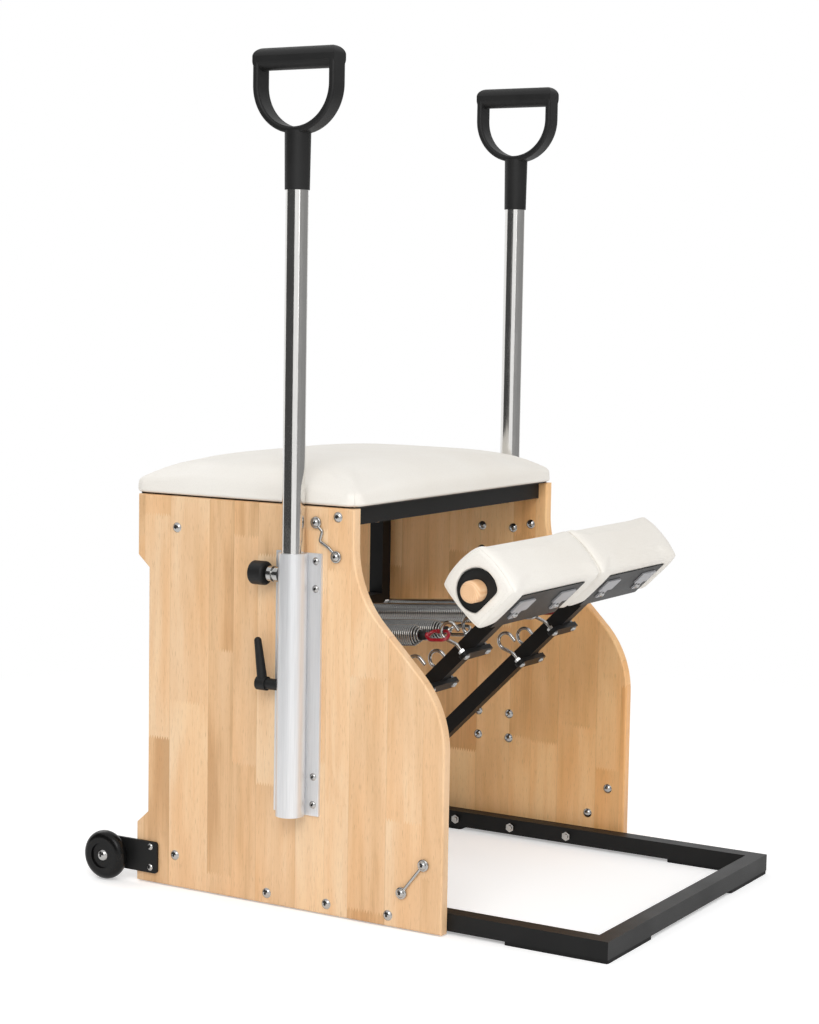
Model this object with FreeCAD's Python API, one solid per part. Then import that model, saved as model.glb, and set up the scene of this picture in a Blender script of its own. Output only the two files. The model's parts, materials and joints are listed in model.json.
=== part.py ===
import FreeCAD, Part
import math
import os

from FreeCAD import Vector

# Pilates chair: a wooden box seat with two sprung foot pedals, lift-out handles and tilt wheels.
# Lengths are millimetres, angles degrees. X runs across, Y to the back, Z up, and the front has the pedals.
# Heights count from the floor. Depths count from the panels' lower front edge until the part is centred.
# Left is the side of smaller X. The right side is its mirror image.

# Fits and overruns
cut_overrun = 1.0
running_clearance = 0.05
slip_clearance = 0.2
seat_clearance = 0.3

# Side panels
panel_thickness = 18.0
panel_inner_gap = 560.0
panel_depth = 525.0
panel_top_depth = 375.0
panel_top_height = 580.0
panel_floor_gap = 2.0
panel_round = 3.0
front_curve_radius = 150.0
front_curve_drop = 52.0
front_slope_angle = 45.0
notch_depth = 20.0
notch_low_height = 108.0
notch_top_drop = 108.0
notch_slope_height = 18.0

# Steel frame
tube_size = 25.0
tube_wall = 2.0
tube_plug_length = 22.0
foot_pad_thickness = 5.0
foot_pad_round = 3.5
upright_share = 0.9
base_reach = 244.0
rear_post_setback = 71.0
top_bar_setback = 27.0
front_pad_rail_length = 156.0
front_pad_bar_length = 140.0
rear_pad_length = 184.0

# Panel bolts
panel_bolt_radius = 4.0
panel_bolt_head_radius = 7.5
panel_bolt_head_height = 4.0
panel_nut_radius = 7.5
panel_nut_height = 6.0
nut_thread_stub = 2.0
rail_bolt_first_depth = 86.0
rail_bolt_pitch = 102.0
rail_bolt_count = 3
post_bolt_low_height = 49.0
post_bolt_drop = 45.5

# Seat
seat_pole_gap = 1.5
seat_front_overhang = 4.0
seat_rear_overhang = 10.0
seat_shadow_gap = 2.0
seat_side_height = 17.0
seat_crown_height = 39.0
seat_draw_in = 4.0
seat_corner_radius = 22.0
seat_top_corner_radius = 12.0
seat_level_shares = (0.0, 0.22, 0.42, 0.6, 0.75, 0.86, 0.94, 0.98, 0.998)
seat_crown_power = 4
seat_board_thickness = 12.0
seat_board_inset = 10.0
seat_screw_radius = 3.0
seat_screw_head_radius = 6.0
seat_screw_head_height = 3.0
seat_screw_bite = 8.0
seat_screw_inset = 60.0

# Pedal pivot
pivot_height = 58.0
pivot_depth = 380.0
pivot_shaft_radius = 10.0
pivot_shaft_end_gap = 1.0
pivot_block_length = 60.0
pivot_block_crown_radius = 20.0
pivot_tube_radius = 18.0
pivot_tube_length = 84.0
bush_wall = 3.0
bush_length = 26.0
bush_flange_radius = 16.0
bush_flange_thickness = 3.0
collar_radius = 18.0
collar_length = 12.0
collar_end_play = 0.4

# Pedal arms and pads, laid flat with the arm along -Y from the pivot, then raised to the rest angle
pedal_rest_angle = 44.7
pedal_half_spacing = 136.5
arm_tube_size = 22.0
arm_tube_wall = 2.0
pad_reach = 590.0
pad_rise = 13.6
pad_side = 80.0
pad_corner_radius = 5.0
pad_outer_half_span = 267.5
pad_split_gap = 3.0
pad_crown = 5.0
pad_front_swell = 3.5
pad_end_draw_in = 3.0
pad_end_power = 14
pad_section_shares = (0.0, 0.01, 0.03, 0.06, 0.11, 0.89, 0.94, 0.97, 0.99, 1.0)
pad_hole_radius = 30.3
pad_hole_flat_drop = 21.2
pad_hole_back_shift = 4.5
pad_hole_drop = 1.5
core_wall = 3.0
core_end_inset = 1.5
bulkhead_thickness = 12.0
bulkhead_inset = 0.8
dowel_radius = 15.5
dowel_length = 258.0
dowel_round = 7.0
dowel_reach_out = 22.0
bracket_thickness = 3.0
bracket_width = 193.0
bracket_front_margin = 13.0
bracket_back_height = 48.0
bracket_bend_radius = 4.0
clip_half_spacing = 62.0
clip_width = 46.0
clip_length = 23.0
clip_thickness = 2.5
clip_corner_radius = 3.0
clip_tongue_width = 18.0
clip_tongue_length = 15.0
clip_front_margin = 12.0
clip_bolt_head_radius = 5.0
clip_bolt_head_height = 3.5
clip_bolt_radius = 2.5

# Spring hooks on the arms
wing_bar_thickness = 7.0
wing_bar_width = 18.0
wing_hook_half_spacing = 31.0
wing_upper_setback = 131.0
wing_lower_setback = 207.5
hook_rod_radius = 2.6
hook_curl_radius = 12.5
hook_curl_rise = 27.0
hook_curl_shift = 3.0
hook_bend_rise = 4.0
hook_bend_radius = 20.0
hook_tip_drop = 10.0
hook_bolt_head_radius = 5.5
hook_bolt_head_height = 3.5
hook_nut_radius = 6.0
hook_nut_height = 5.0

# Springs and their fittings
anchor_height = 368.0
anchor_eye_radius = 14.0
anchor_rod_radius = 2.5
anchor_nut_radius = 6.5
anchor_nut_height = 5.0
link_rod_radius = 2.5
link_half_width = 8.5
link_straight_length = 16.0
link_front_play = 0.4
link_seat_angle = 76.0
link_rear_play = 2.7
link_shank_radius = 4.0
plug_length = 15.0
plug_nose_radius = 8.0
spring_outer_radius = 15.5
spring_wire_radius = 2.0
spring_turns = 25
spring_lead_length = 15.0
spring_lead_angle = 90.0
spring_samples_per_edge = 4

# Handle sleeves, poles and grips
sleeve_low_height = 142.0
sleeve_drop = 65.0
sleeve_depth_place = 238.5
sleeve_radius = 20.5
sleeve_web_half_width = 12.0
sleeve_flange_width = 76.0
sleeve_flange_thickness = 4.0
sleeve_bolt_half_spacing = 28.5
sleeve_bolt_end_insets = (11.0, 50.0)
sleeve_bolt_low_insets = (16.0, 56.0)
sleeve_bolt_radius = 3.0
sleeve_bolt_head_radius = 5.5
sleeve_bolt_head_height = 3.0
pole_radius = 16.0
pole_wall = 2.0
pole_low_height = 160.0
index_pitch = 50.0
index_holes_below = 3
index_holes_above = 2
grip_top_height = 1211.0
grip_height = 194.0
grip_belt_drop = 51.0
grip_half_width = 67.0
grip_bar_radius = 15.5
grip_arm_width = 9.5
grip_thickness = 30.0
grip_corner_radius = 12.0
grip_round = 3.5
grip_socket_low_radius = 17.4
grip_socket_high_radius = 18.4
grip_socket_depth = 60.0

# Pull pins and clamp levers
pin_drop = 32.0
pin_radius = 4.0
pin_tip_gap = 0.6
pin_travel = 4.0
pin_collar_radius = 11.0
pin_groove_radius = 9.0
pin_groove_width = 4.0
pin_flange_gap = 0.5
pin_knob_radius = 17.0
pin_knob_panel_gap = 2.0
pin_knob_length = 25.0
pin_knob_round = 4.0
clamp_pin_spacing = 157.0
clamp_screw_radius = 5.0
clamp_tip_gap = 0.6
clamp_neck_radius = 8.0
clamp_neck_length = 20.0
clamp_hub_radius = 10.0
clamp_hub_length = 16.0
clamp_arm_root_radius = 7.5
clamp_arm_tip_radius = 5.3
clamp_arm_length = 60.0
clamp_arm_lean = 9.0

# Wheels
wheel_radius = 36.5
wheel_width = 22.0
wheel_round = 10.8
wheel_hub_radius = 19.0
wheel_hub_recess = 3.0
wheel_floor_gap = 0.8
wheel_setback = 44.0
axle_radius = 4.0
axle_spacer_radius = 7.0
axle_spacer_length = 2.0
axle_head_radius = 9.0
axle_head_height = 5.0
bracket_plate_thickness = 4.0
wheel_bracket_front_margin = 41.0
wheel_bracket_low_height = 17.0
wheel_bracket_high_height = 64.0
wheel_bracket_corner_radius = 5.0
wheel_bracket_screw_setback = 13.0
wheel_bracket_screw_margin = 8.0
wheel_bracket_screw_radius = 2.5
wheel_bracket_screw_head_radius = 5.0
wheel_bracket_screw_head_height = 2.5

# Strap anchor wires on the panels' outer faces
strap_wire_radius = 2.2
strap_eye_radius = 6.5
strap_upper_top_depth = 212.0
strap_upper_top_drop = 22.0
strap_upper_low_depth = 178.0
strap_upper_low_drop = 68.0
strap_lower_top_depth = 29.0
strap_lower_top_height = 97.0
strap_lower_low_depth = 63.5
strap_lower_low_height = 53.0
strap_wave_radius = 3.5
strap_wave_offsets = (-2.0, 9.5, 2.5)
strap_wave_shares = (0.28, 0.43, 0.70)
strap_bolt_radius = 3.0
strap_bolt_head_radius = 6.0
strap_bolt_head_height = 3.5

# Places that follow from the sizes above
inner_x = panel_inner_gap / 2
outer_x = inner_x + panel_thickness
panel_top_front = panel_depth - panel_top_depth
rail_low = foot_pad_thickness
rail_high = rail_low + tube_size
rail_inner_x = inner_x - tube_size
rail_axis_height = rail_low + tube_size / 2
post_axis_depth = panel_depth - rear_post_setback
post_front = post_axis_depth - tube_size / 2
post_back = post_axis_depth + tube_size / 2
top_bar_axis_depth = panel_top_front + top_bar_setback
top_bar_axis_height = panel_top_height - tube_size / 2
seat_bottom = panel_top_height + seat_shadow_gap
seat_board_top = panel_top_height + seat_board_thickness
pad_bottom = pad_rise - pad_side / 2
pad_back = -pad_reach + pad_side / 2
pad_front = -pad_reach - pad_side / 2
pad_inner_x = pad_split_gap / 2
arm_end = pad_back + bracket_thickness
arm_bottom = -arm_tube_size / 2
wing_bottom = arm_bottom - wing_bar_thickness
wheel_axis_height = wheel_floor_gap + wheel_radius
wheel_axis_depth = panel_depth + wheel_setback
sleeve_axis_offset = pin_knob_radius + pin_knob_panel_gap
sleeve_axis_x = outer_x + sleeve_axis_offset
sleeve_back = sleeve_depth_place + sleeve_radius
pin_collar_length = sleeve_flange_width / 2 - sleeve_radius + pin_flange_gap
centre_depth = (wheel_axis_depth + wheel_radius - base_reach) / 2
front_curve_start_height = panel_top_height - front_curve_drop
notch_high_height = panel_top_height - notch_top_drop
post_bolt_high_height = panel_top_height - post_bolt_drop
sleeve_high_height = panel_top_height - sleeve_drop
pin_height = sleeve_high_height - pin_drop
clamp_height = pin_height - clamp_pin_spacing
wing_upper_reach = pad_reach - wing_upper_setback
wing_lower_reach = pad_reach - wing_lower_setback
grip_low_height = grip_top_height - grip_height
grip_belt_height = grip_top_height - grip_belt_drop
strap_upper_top_place = (strap_upper_top_depth, panel_top_height - strap_upper_top_drop)
strap_upper_low_place = (strap_upper_low_depth, panel_top_height - strap_upper_low_drop)
strap_lower_top_place = (strap_lower_top_depth, strap_lower_top_height)
strap_lower_low_place = (strap_lower_low_depth, strap_lower_low_height)
eye_depth = post_front - anchor_eye_radius - anchor_rod_radius
anchor_depth = eye_depth - anchor_eye_radius

parts = {}


def keep(node, *solids):
    """Files one node: its solids, moved so that the whole part is centred on the origin."""
    shape = solids[0] if len(solids) == 1 else Part.makeCompound(solids)
    shape = shape.copy()
    shape.translate(Vector(0, -centre_depth, 0))
    if not shape.isValid():
        print("not valid:", node)
    parts[node] = shape


def mirrored(shape):
    return shape.mirror(Vector(0, 0, 0), Vector(1, 0, 0))


def keep_pair(name, *solids):
    """Files the left piece and its mirror image on the right."""
    keep("left_" + name, *solids)
    keep("right_" + name, *[mirrored(solid) for solid in solids])


def box(low, high):
    return Part.makeBox(high.x - low.x, high.y - low.y, high.z - low.z, low)


def bar_between(start, end, radius):
    return Part.makeCylinder(radius, (end - start).Length, start, end - start)


def hexagon_nut(radius, height, place, direction, bore):
    """A six-sided nut that starts at place and grows along direction."""
    turn = FreeCAD.Rotation(Vector(0, 0, 1), direction)
    angles = [n * math.pi / 3 for n in range(6)]
    flat = [Vector(radius * math.cos(angle), radius * math.sin(angle), 0) for angle in angles]
    corners = [place + turn.multVec(corner) for corner in flat]
    nut = Part.Face(Part.makePolygon(corners + corners[:1])).extrude(direction * height)
    return nut.cut(Part.makeCylinder(bore, height, place, direction)) if bore else nut


def dome_cap(place, direction, radius, height):
    """A round head that sits on place and rises against direction."""
    ball_radius = (radius**2 + height**2) / (2 * height)
    ball = Part.makeSphere(ball_radius, place + direction * (ball_radius - height))
    return ball.common(Part.makeCylinder(radius, height, place, -direction))


def dome_bolt(place, direction, head_radius, head_height, radius, length):
    """A round-headed bolt whose head sits on place. Its shank runs along direction."""
    head = dome_cap(place, direction, head_radius, head_height)
    return head.fuse(Part.makeCylinder(radius, length, place, direction)).removeSplitter()


def rounded_edges(points, radius):
    """Straight runs through the points with a tangent arc at each corner."""
    edges = []
    last = points[0]
    for before, corner, after in zip(points, points[1:], points[2:]):
        towards_before = (before - corner).normalize()
        towards_after = (after - corner).normalize()
        half_angle = towards_before.getAngle(towards_after) / 2
        reach = radius / math.tan(half_angle)
        inward = (towards_before + towards_after).normalize()
        start = corner + towards_before * reach
        end = corner + towards_after * reach
        middle = corner + inward * (radius / math.sin(half_angle) - radius)
        edges.append(Part.LineSegment(last, start).toShape())
        edges.append(Part.Arc(start, middle, end).toShape())
        last = end
    edges.append(Part.LineSegment(last, points[-1]).toShape())
    return edges


def swept_rod(edges, radius):
    """A round rod along a chain of edges."""
    path = Part.Wire(edges)
    first = edges[0]
    start = first.valueAt(first.FirstParameter)
    direction = first.tangentAt(first.FirstParameter)
    section = Part.Wire(Part.makeCircle(radius, start, direction))
    return path.makePipeShell([section], True, False)


def square_tube(low, high, axis):
    """A square steel tube between two corners, open along the named axis."""
    wall = Vector(tube_wall, tube_wall, tube_wall)
    reach = Vector(*[cut_overrun + tube_wall if name == axis else 0 for name in "xyz"])
    return box(low, high).cut(box(low + wall - reach, high - wall + reach))


def plugged_tube(low, high):
    """A crosswise tube with a solid plug in each end, for the bolts that hold it."""
    tube = square_tube(low, high, "x")
    wall = Vector(0, tube_wall, tube_wall)
    length = Vector(tube_plug_length, 0, 0)
    left = box(low + wall, Vector(low.x, high.y, high.z) - wall + length)
    right = box(Vector(high.x, low.y, low.z) + wall - length, high - wall)
    return tube.fuse([left, right]).removeSplitter()


def rail_bolt_places():
    return [(rail_bolt_first_depth + n * rail_bolt_pitch, rail_axis_height) for n in range(rail_bolt_count)]


def post_bolt_places():
    return [(post_axis_depth, post_bolt_low_height), (post_axis_depth, post_bolt_high_height)]


def sleeve_bolt_places():
    heights = [sleeve_high_height - inset for inset in sleeve_bolt_end_insets]
    heights += [sleeve_low_height + inset for inset in sleeve_bolt_low_insets]
    sides = (-sleeve_bolt_half_spacing, sleeve_bolt_half_spacing)
    return [(sleeve_depth_place + side, height) for side in sides for height in heights]


def strap_bolt_places():
    return [strap_upper_top_place, strap_upper_low_place, strap_lower_top_place, strap_lower_low_place]


def wheel_screw_places():
    depth = panel_depth - wheel_bracket_front_margin + wheel_bracket_screw_setback
    low = wheel_bracket_low_height + wheel_bracket_screw_margin
    high = wheel_bracket_high_height - wheel_bracket_screw_margin
    return [(depth, low), (depth, high)]


def drill_across(shape, places, radius):
    """Holes along X through the left half of the part at each depth and height."""
    tools = [
        bar_between(Vector(-outer_x - cut_overrun, y, z), Vector(-rail_inner_x + cut_overrun, y, z), radius)
        for y, z in places
    ]
    return shape.cut(tools)


def panel_outline():
    """The panel's outline at X = 0: an S-curve at the front and a shallow notch at the back."""
    slope = math.radians(front_slope_angle)
    step_back = front_curve_radius * (1 - math.cos(slope))
    step_down = front_curve_radius * math.sin(slope)
    slope_back = panel_top_front - 2 * step_back
    slope_down = slope_back * math.tan(slope)
    upper_end = Vector(0, panel_top_front - step_back, front_curve_start_height - step_down)
    lower_start = upper_end - Vector(0, slope_back, slope_down)
    curve_low = lower_start.z - step_down
    half = slope / 2
    half_back = front_curve_radius * (1 - math.cos(half))
    half_down = front_curve_radius * math.sin(half)
    upper_start = Vector(0, panel_top_front, front_curve_start_height)
    lower_end = Vector(0, 0, curve_low)
    upper_middle = upper_start - Vector(0, half_back, half_down)
    lower_middle = lower_end + Vector(0, half_back, half_down)
    notch_floor = panel_depth - notch_depth
    corners = [
        lower_end,
        Vector(0, 0, panel_floor_gap),
        Vector(0, panel_depth, panel_floor_gap),
        Vector(0, panel_depth, notch_low_height - notch_slope_height),
        Vector(0, notch_floor, notch_low_height),
        Vector(0, notch_floor, notch_high_height),
        Vector(0, panel_depth, notch_high_height + notch_slope_height),
        Vector(0, panel_depth, panel_top_height),
        Vector(0, panel_top_front, panel_top_height),
        upper_start,
    ]
    edges = [Part.LineSegment(a, b).toShape() for a, b in zip(corners, corners[1:])]
    edges.append(Part.Arc(upper_start, upper_middle, upper_end).toShape())
    edges.append(Part.LineSegment(upper_end, lower_start).toShape())
    edges.append(Part.Arc(lower_start, lower_middle, lower_end).toShape())
    return edges


def add_panels():
    blank = Part.Face(Part.Wire(panel_outline())).extrude(Vector(panel_thickness, 0, 0))
    blank.translate(Vector(-outer_x, 0, 0))
    rim = [edge for edge in blank.Edges if edge.BoundBox.XLength < panel_thickness / 2]
    panel = blank.makeFillet(panel_round, rim)
    frame_places = rail_bolt_places() + post_bolt_places() + [(top_bar_axis_depth, top_bar_axis_height)]
    panel = drill_across(panel, frame_places, panel_bolt_radius + slip_clearance)
    panel = drill_across(panel, sleeve_bolt_places(), sleeve_bolt_radius + slip_clearance)
    panel = drill_across(panel, strap_bolt_places(), strap_bolt_radius + slip_clearance)
    panel = drill_across(panel, wheel_screw_places(), wheel_bracket_screw_radius + slip_clearance)
    keep_pair("side_panel", panel)


def seat_screw_places():
    x = rail_inner_x - seat_screw_inset
    return [(side * x, depth) for side in (-1, 1) for depth in (top_bar_axis_depth, post_axis_depth)]


def mitre_wedge(side):
    """One half of the left front corner of the base, with side 1 in front of the mitre and -1 behind it."""
    outer = Vector(-inner_x, -base_reach, rail_low - cut_overrun)
    inner = outer + Vector(tube_size, tube_size, 0)
    beyond = (outer + inner) / 2 + Vector(side, -side, 0) * (tube_size / 2 + cut_overrun)
    height = Vector(0, 0, tube_size + 2 * cut_overrun)
    return Part.Face(Part.makePolygon([outer, inner, beyond, outer])).extrude(height)


def add_frame():
    rail_back = post_back
    bolt_hole = panel_bolt_radius + slip_clearance
    rail_front_corner = Vector(-inner_x, -base_reach, rail_low)
    rail = square_tube(rail_front_corner, Vector(-rail_inner_x, rail_back, rail_high), "y")
    rail = rail.cut(mitre_wedge(1))
    keep_pair("base_rail", drill_across(rail, rail_bolt_places(), bolt_hole))
    front_bar = square_tube(
        Vector(-inner_x, -base_reach, rail_low), Vector(inner_x, -base_reach + tube_size, rail_high), "x"
    )
    rear_wedge = mitre_wedge(-1)
    front_bar = front_bar.cut([rear_wedge, mirrored(rear_wedge)])
    rear_bar = square_tube(
        Vector(-rail_inner_x, post_front, rail_low), Vector(rail_inner_x, post_back, rail_high), "x"
    )
    keep("base_crossbars", front_bar, rear_bar)
    post = square_tube(
        Vector(-inner_x, post_front, rail_high), Vector(-rail_inner_x, post_back, panel_top_height), "z"
    )
    post = drill_across(post, post_bolt_places(), bolt_hole)
    keep("rear_posts", post, mirrored(post))
    top_low = panel_top_height - tube_size
    front_top = plugged_tube(
        Vector(-inner_x, top_bar_axis_depth - tube_size / 2, top_low),
        Vector(inner_x, top_bar_axis_depth + tube_size / 2, panel_top_height),
    )
    bolt_pocket = bar_between(
        Vector(-inner_x - cut_overrun, top_bar_axis_depth, top_bar_axis_height),
        Vector(-inner_x + tube_plug_length, top_bar_axis_depth, top_bar_axis_height),
        bolt_hole,
    )
    front_top = front_top.cut([bolt_pocket, mirrored(bolt_pocket)])
    rear_top = square_tube(
        Vector(-rail_inner_x, post_front, top_low), Vector(rail_inner_x, post_back, panel_top_height), "x"
    )
    screw_holes = [
        bar_between(
            Vector(x, y, top_low - cut_overrun),
            Vector(x, y, panel_top_height + cut_overrun),
            seat_screw_radius + slip_clearance,
        )
        for x, y in seat_screw_places()
    ]
    keep("seat_crossbars", front_top.cut(screw_holes), rear_top.cut(screw_holes))


def rounded_uprights(pad):
    """Rounds the upright edges of a foot pad."""
    uprights = [edge for edge in pad.Edges if abs(edge.tangentAt(edge.FirstParameter).z) > upright_share]
    return pad.makeFillet(foot_pad_round, uprights)


def add_foot_pads():
    front = -base_reach
    along_rail = box(
        Vector(-inner_x, front, 0), Vector(-rail_inner_x, front + front_pad_rail_length, foot_pad_thickness)
    )
    along_bar = box(
        Vector(-inner_x, front, 0),
        Vector(-inner_x + front_pad_bar_length, front + tube_size, foot_pad_thickness),
    )
    corner = rounded_uprights(along_rail.fuse(along_bar).removeSplitter())
    rear = box(
        Vector(-inner_x, post_back - rear_pad_length, 0), Vector(-rail_inner_x, post_back, foot_pad_thickness)
    )
    rear = rounded_uprights(rear)
    keep("foot_pads", corner, mirrored(corner), rear, mirrored(rear))


def add_panel_bolts():
    """Dome-headed bolts from the panels into the frame, with nuts where the shank comes through."""
    solids = []
    inward = Vector(1, 0, 0)
    through = panel_thickness + tube_size + panel_nut_height + nut_thread_stub
    for y, z in rail_bolt_places() + post_bolt_places():
        bolt = dome_bolt(
            Vector(-outer_x, y, z),
            inward,
            panel_bolt_head_radius,
            panel_bolt_head_height,
            panel_bolt_radius,
            through,
        )
        nut = hexagon_nut(
            panel_nut_radius,
            panel_nut_height,
            Vector(-rail_inner_x, y, z),
            inward,
            panel_bolt_radius + running_clearance,
        )
        solids += [bolt, nut]
    blind = panel_thickness + tube_plug_length - cut_overrun
    solids.append(
        dome_bolt(
            Vector(-outer_x, top_bar_axis_depth, top_bar_axis_height),
            inward,
            panel_bolt_head_radius,
            panel_bolt_head_height,
            panel_bolt_radius,
            blind,
        )
    )
    keep("panel_bolts", *(solids + [mirrored(solid) for solid in solids]))


def rounded_rectangle(half_x, middle_y, half_y, radius, height):
    """A level outline with rounded corners."""
    low_y = middle_y - half_y
    high_y = middle_y + half_y
    left = -half_x + radius
    right = half_x - radius
    front = low_y + radius
    back = high_y - radius
    corner = radius * math.sqrt(0.5)
    runs = [
        (Vector(left, low_y, height), Vector(right, low_y, height)),
        (Vector(half_x, front, height), Vector(half_x, back, height)),
        (Vector(right, high_y, height), Vector(left, high_y, height)),
        (Vector(-half_x, back, height), Vector(-half_x, front, height)),
    ]
    middles = [
        Vector(right + corner, front - corner, height),
        Vector(right + corner, back + corner, height),
        Vector(left - corner, back + corner, height),
        Vector(left - corner, front - corner, height),
    ]
    edges = []
    for number, (start, end) in enumerate(runs):
        following = runs[(number + 1) % len(runs)][0]
        edges.append(Part.LineSegment(start, end).toShape())
        edges.append(Part.Arc(end, middles[number], following).toShape())
    return Part.Wire(edges)


def add_seat():
    """A padded seat on a board: sides drawn in at the bottom, and a crown that flattens inwards."""
    half_x = sleeve_axis_x - pole_radius - seat_pole_gap
    low_y = panel_top_front - seat_front_overhang
    high_y = panel_depth + seat_rear_overhang
    middle_y = (low_y + high_y) / 2
    half_y = (high_y - low_y) / 2
    shoulder = seat_bottom + seat_side_height
    foot_x = half_x - seat_draw_in
    foot_y = half_y - seat_draw_in
    sections = [rounded_rectangle(foot_x, middle_y, foot_y, seat_corner_radius, seat_bottom)]
    for share in seat_level_shares:
        shrink = (1 - share**2) ** (1 / seat_crown_power)
        radius = seat_corner_radius + share * (seat_top_corner_radius - seat_corner_radius)
        height = shoulder + share * seat_crown_height
        sections.append(rounded_rectangle(half_x * shrink, middle_y, half_y * shrink, radius, height))
    cushion = Part.makeLoft(sections, True, True)
    board_low = Vector(-half_x + seat_board_inset, low_y + seat_board_inset, panel_top_height)
    board_high = Vector(half_x - seat_board_inset, high_y - seat_board_inset, seat_board_top)
    room = Vector(slip_clearance, slip_clearance, 0)
    keep("seat_cushion", cushion.cut(box(board_low - room, board_high + room)))
    screws = []
    bites = []
    length = tube_size + seat_screw_bite
    for x, y in seat_screw_places():
        head = Vector(x, y, panel_top_height - tube_size)
        up = Vector(0, 0, 1)
        screws.append(
            dome_bolt(head, up, seat_screw_head_radius, seat_screw_head_height, seat_screw_radius, length)
        )
        bites.append(bar_between(head, head + up * length, seat_screw_radius + slip_clearance))
    keep("seat_board", box(board_low, board_high).cut(bites))
    keep("seat_screws", *screws)


def add_pivot():
    """The shaft that both pedals turn on, held in blocks on the base rails."""
    end_x = inner_x - pivot_shaft_end_gap
    centre = Vector(0, pivot_depth, pivot_height)
    across = Vector(end_x, 0, 0)
    keep("pivot_shaft", bar_between(centre - across, centre + across, pivot_shaft_radius))
    axis_start = Vector(-inner_x, pivot_depth, pivot_height)
    axis_end = Vector(-rail_inner_x, pivot_depth, pivot_height)
    low = box(
        Vector(-inner_x, pivot_depth - pivot_block_length / 2, rail_high),
        Vector(-rail_inner_x, pivot_depth + pivot_block_length / 2, pivot_height),
    )
    block = low.fuse(bar_between(axis_start, axis_end, pivot_block_crown_radius)).removeSplitter()
    overrun = Vector(cut_overrun, 0, 0)
    way = bar_between(axis_start - overrun, axis_end + overrun, pivot_shaft_radius + running_clearance)
    block = block.cut(way)
    keep("pivot_blocks", block, mirrored(block))
    collars = []
    offset = pivot_tube_length / 2 + bush_flange_thickness + collar_end_play
    for side in (-1, 1):
        near = Vector(-pedal_half_spacing + side * offset, pivot_depth, pivot_height)
        far = near + Vector(side * collar_length, 0, 0)
        collar = bar_between(near, far, collar_radius)
        bore = bar_between(near, far, pivot_shaft_radius + running_clearance)
        collars.append(collar.cut(bore))
    keep("shaft_collars", *(collars + [mirrored(collar) for collar in collars]))


def raised(shape):
    """Turns a flat pedal piece up to its rest angle and sets it on the pivot."""
    shape = shape.copy()
    shape.rotate(Vector(0, 0, 0), Vector(1, 0, 0), -pedal_rest_angle)
    shape.translate(Vector(0, pivot_depth, pivot_height))
    return shape


def keep_pedal_pair(name, *solids):
    keep_pair(name, *[raised(solid) for solid in solids])


def pad_section(x, inset):
    """The pad's square section at one place across: rounded corners, swollen at the top and the front."""
    half = pad_side / 2 - inset
    flat = half - pad_corner_radius
    corner = flat + pad_corner_radius * math.sqrt(0.5)
    swells = (pad_crown, pad_front_swell, 0, 0)
    turns = [FreeCAD.Rotation(Vector(1, 0, 0), 90 * quarter) for quarter in range(len(swells))]
    starts = [turn.multVec(Vector(0, flat, half)) for turn in turns]
    ends = [turn.multVec(Vector(0, -flat, half)) for turn in turns]
    edges = []
    for quarter, turn in enumerate(turns):
        start = starts[quarter]
        end = ends[quarter]
        following = starts[(quarter + 1) % len(starts)]
        crest = turn.multVec(Vector(0, 0, half + swells[quarter]))
        side = Part.Arc(start, crest, end) if swells[quarter] else Part.LineSegment(start, end)
        bend = Part.Arc(end, turn.multVec(Vector(0, -corner, corner)), following)
        edges += [side.toShape(), bend.toShape()]
    wire = Part.Wire(edges)
    wire.translate(Vector(x, -pad_reach, pad_rise))
    return wire


def hole_place(x):
    """A point on the line that the pad's hole and the dowel share."""
    return Vector(x, -pad_reach + pad_hole_back_shift, pad_rise - pad_hole_drop)


def pad_hole(start_x, end_x, shrink):
    """The hole along a pad: round, with one flat at the bottom."""
    radius = pad_hole_radius - shrink
    drop = pad_hole_flat_drop - shrink
    start = hole_place(start_x)
    end = hole_place(end_x)
    keep_in = box(start - Vector(0, radius, drop), end + Vector(0, radius, radius))
    return bar_between(start, end, radius).common(keep_in)


def dowel_bar(start_x, end_x, radius):
    return bar_between(hole_place(start_x), hole_place(end_x), radius)


def add_pads():
    length = pad_outer_half_span - pad_inner_x
    sections = []
    for share in pad_section_shares:
        inset = pad_end_draw_in * abs(2 * share - 1) ** pad_end_power
        sections.append(pad_section(-pad_outer_half_span + share * length, inset))
    pad = Part.makeLoft(sections, True, True)
    hole = pad_hole(-pad_outer_half_span - cut_overrun, -pad_inner_x + cut_overrun, 0)
    keep_pedal_pair("pedal_pad", pad.cut(hole))
    core_start = -pad_outer_half_span + core_end_inset
    core_end = -pad_inner_x - core_end_inset
    liner = pad_hole(core_start, core_end, slip_clearance)
    liner = liner.cut(pad_hole(core_start - cut_overrun, core_end + cut_overrun, slip_clearance + core_wall))
    for start in (core_start + bulkhead_inset, core_end - bulkhead_inset - bulkhead_thickness):
        liner = liner.fuse(pad_hole(start, start + bulkhead_thickness, slip_clearance))
    way = dowel_bar(core_start - cut_overrun, core_end + cut_overrun, dowel_radius + running_clearance)
    keep_pedal_pair("pedal_core", liner.cut(way).removeSplitter())


def add_dowel():
    """A wooden rod parked in the left pedal. Slid across, it locks the two pedals together."""
    start = -pad_outer_half_span - dowel_reach_out
    dowel = dowel_bar(start, start + dowel_length, dowel_radius)
    rims = [edge for edge in dowel.Edges if edge.BoundBox.XLength < dowel_round]
    keep("pedal_dowel", raised(dowel.makeFillet(dowel_round, rims)))


def clip_places():
    """Where each clip's bolt sits, across and along the flat pedal."""
    front = pad_front + bracket_front_margin + clip_front_margin
    bolt_y = front + clip_length + clip_tongue_length / 2
    return [(-pedal_half_spacing + side * clip_half_spacing, bolt_y) for side in (-1, 1)]


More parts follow.
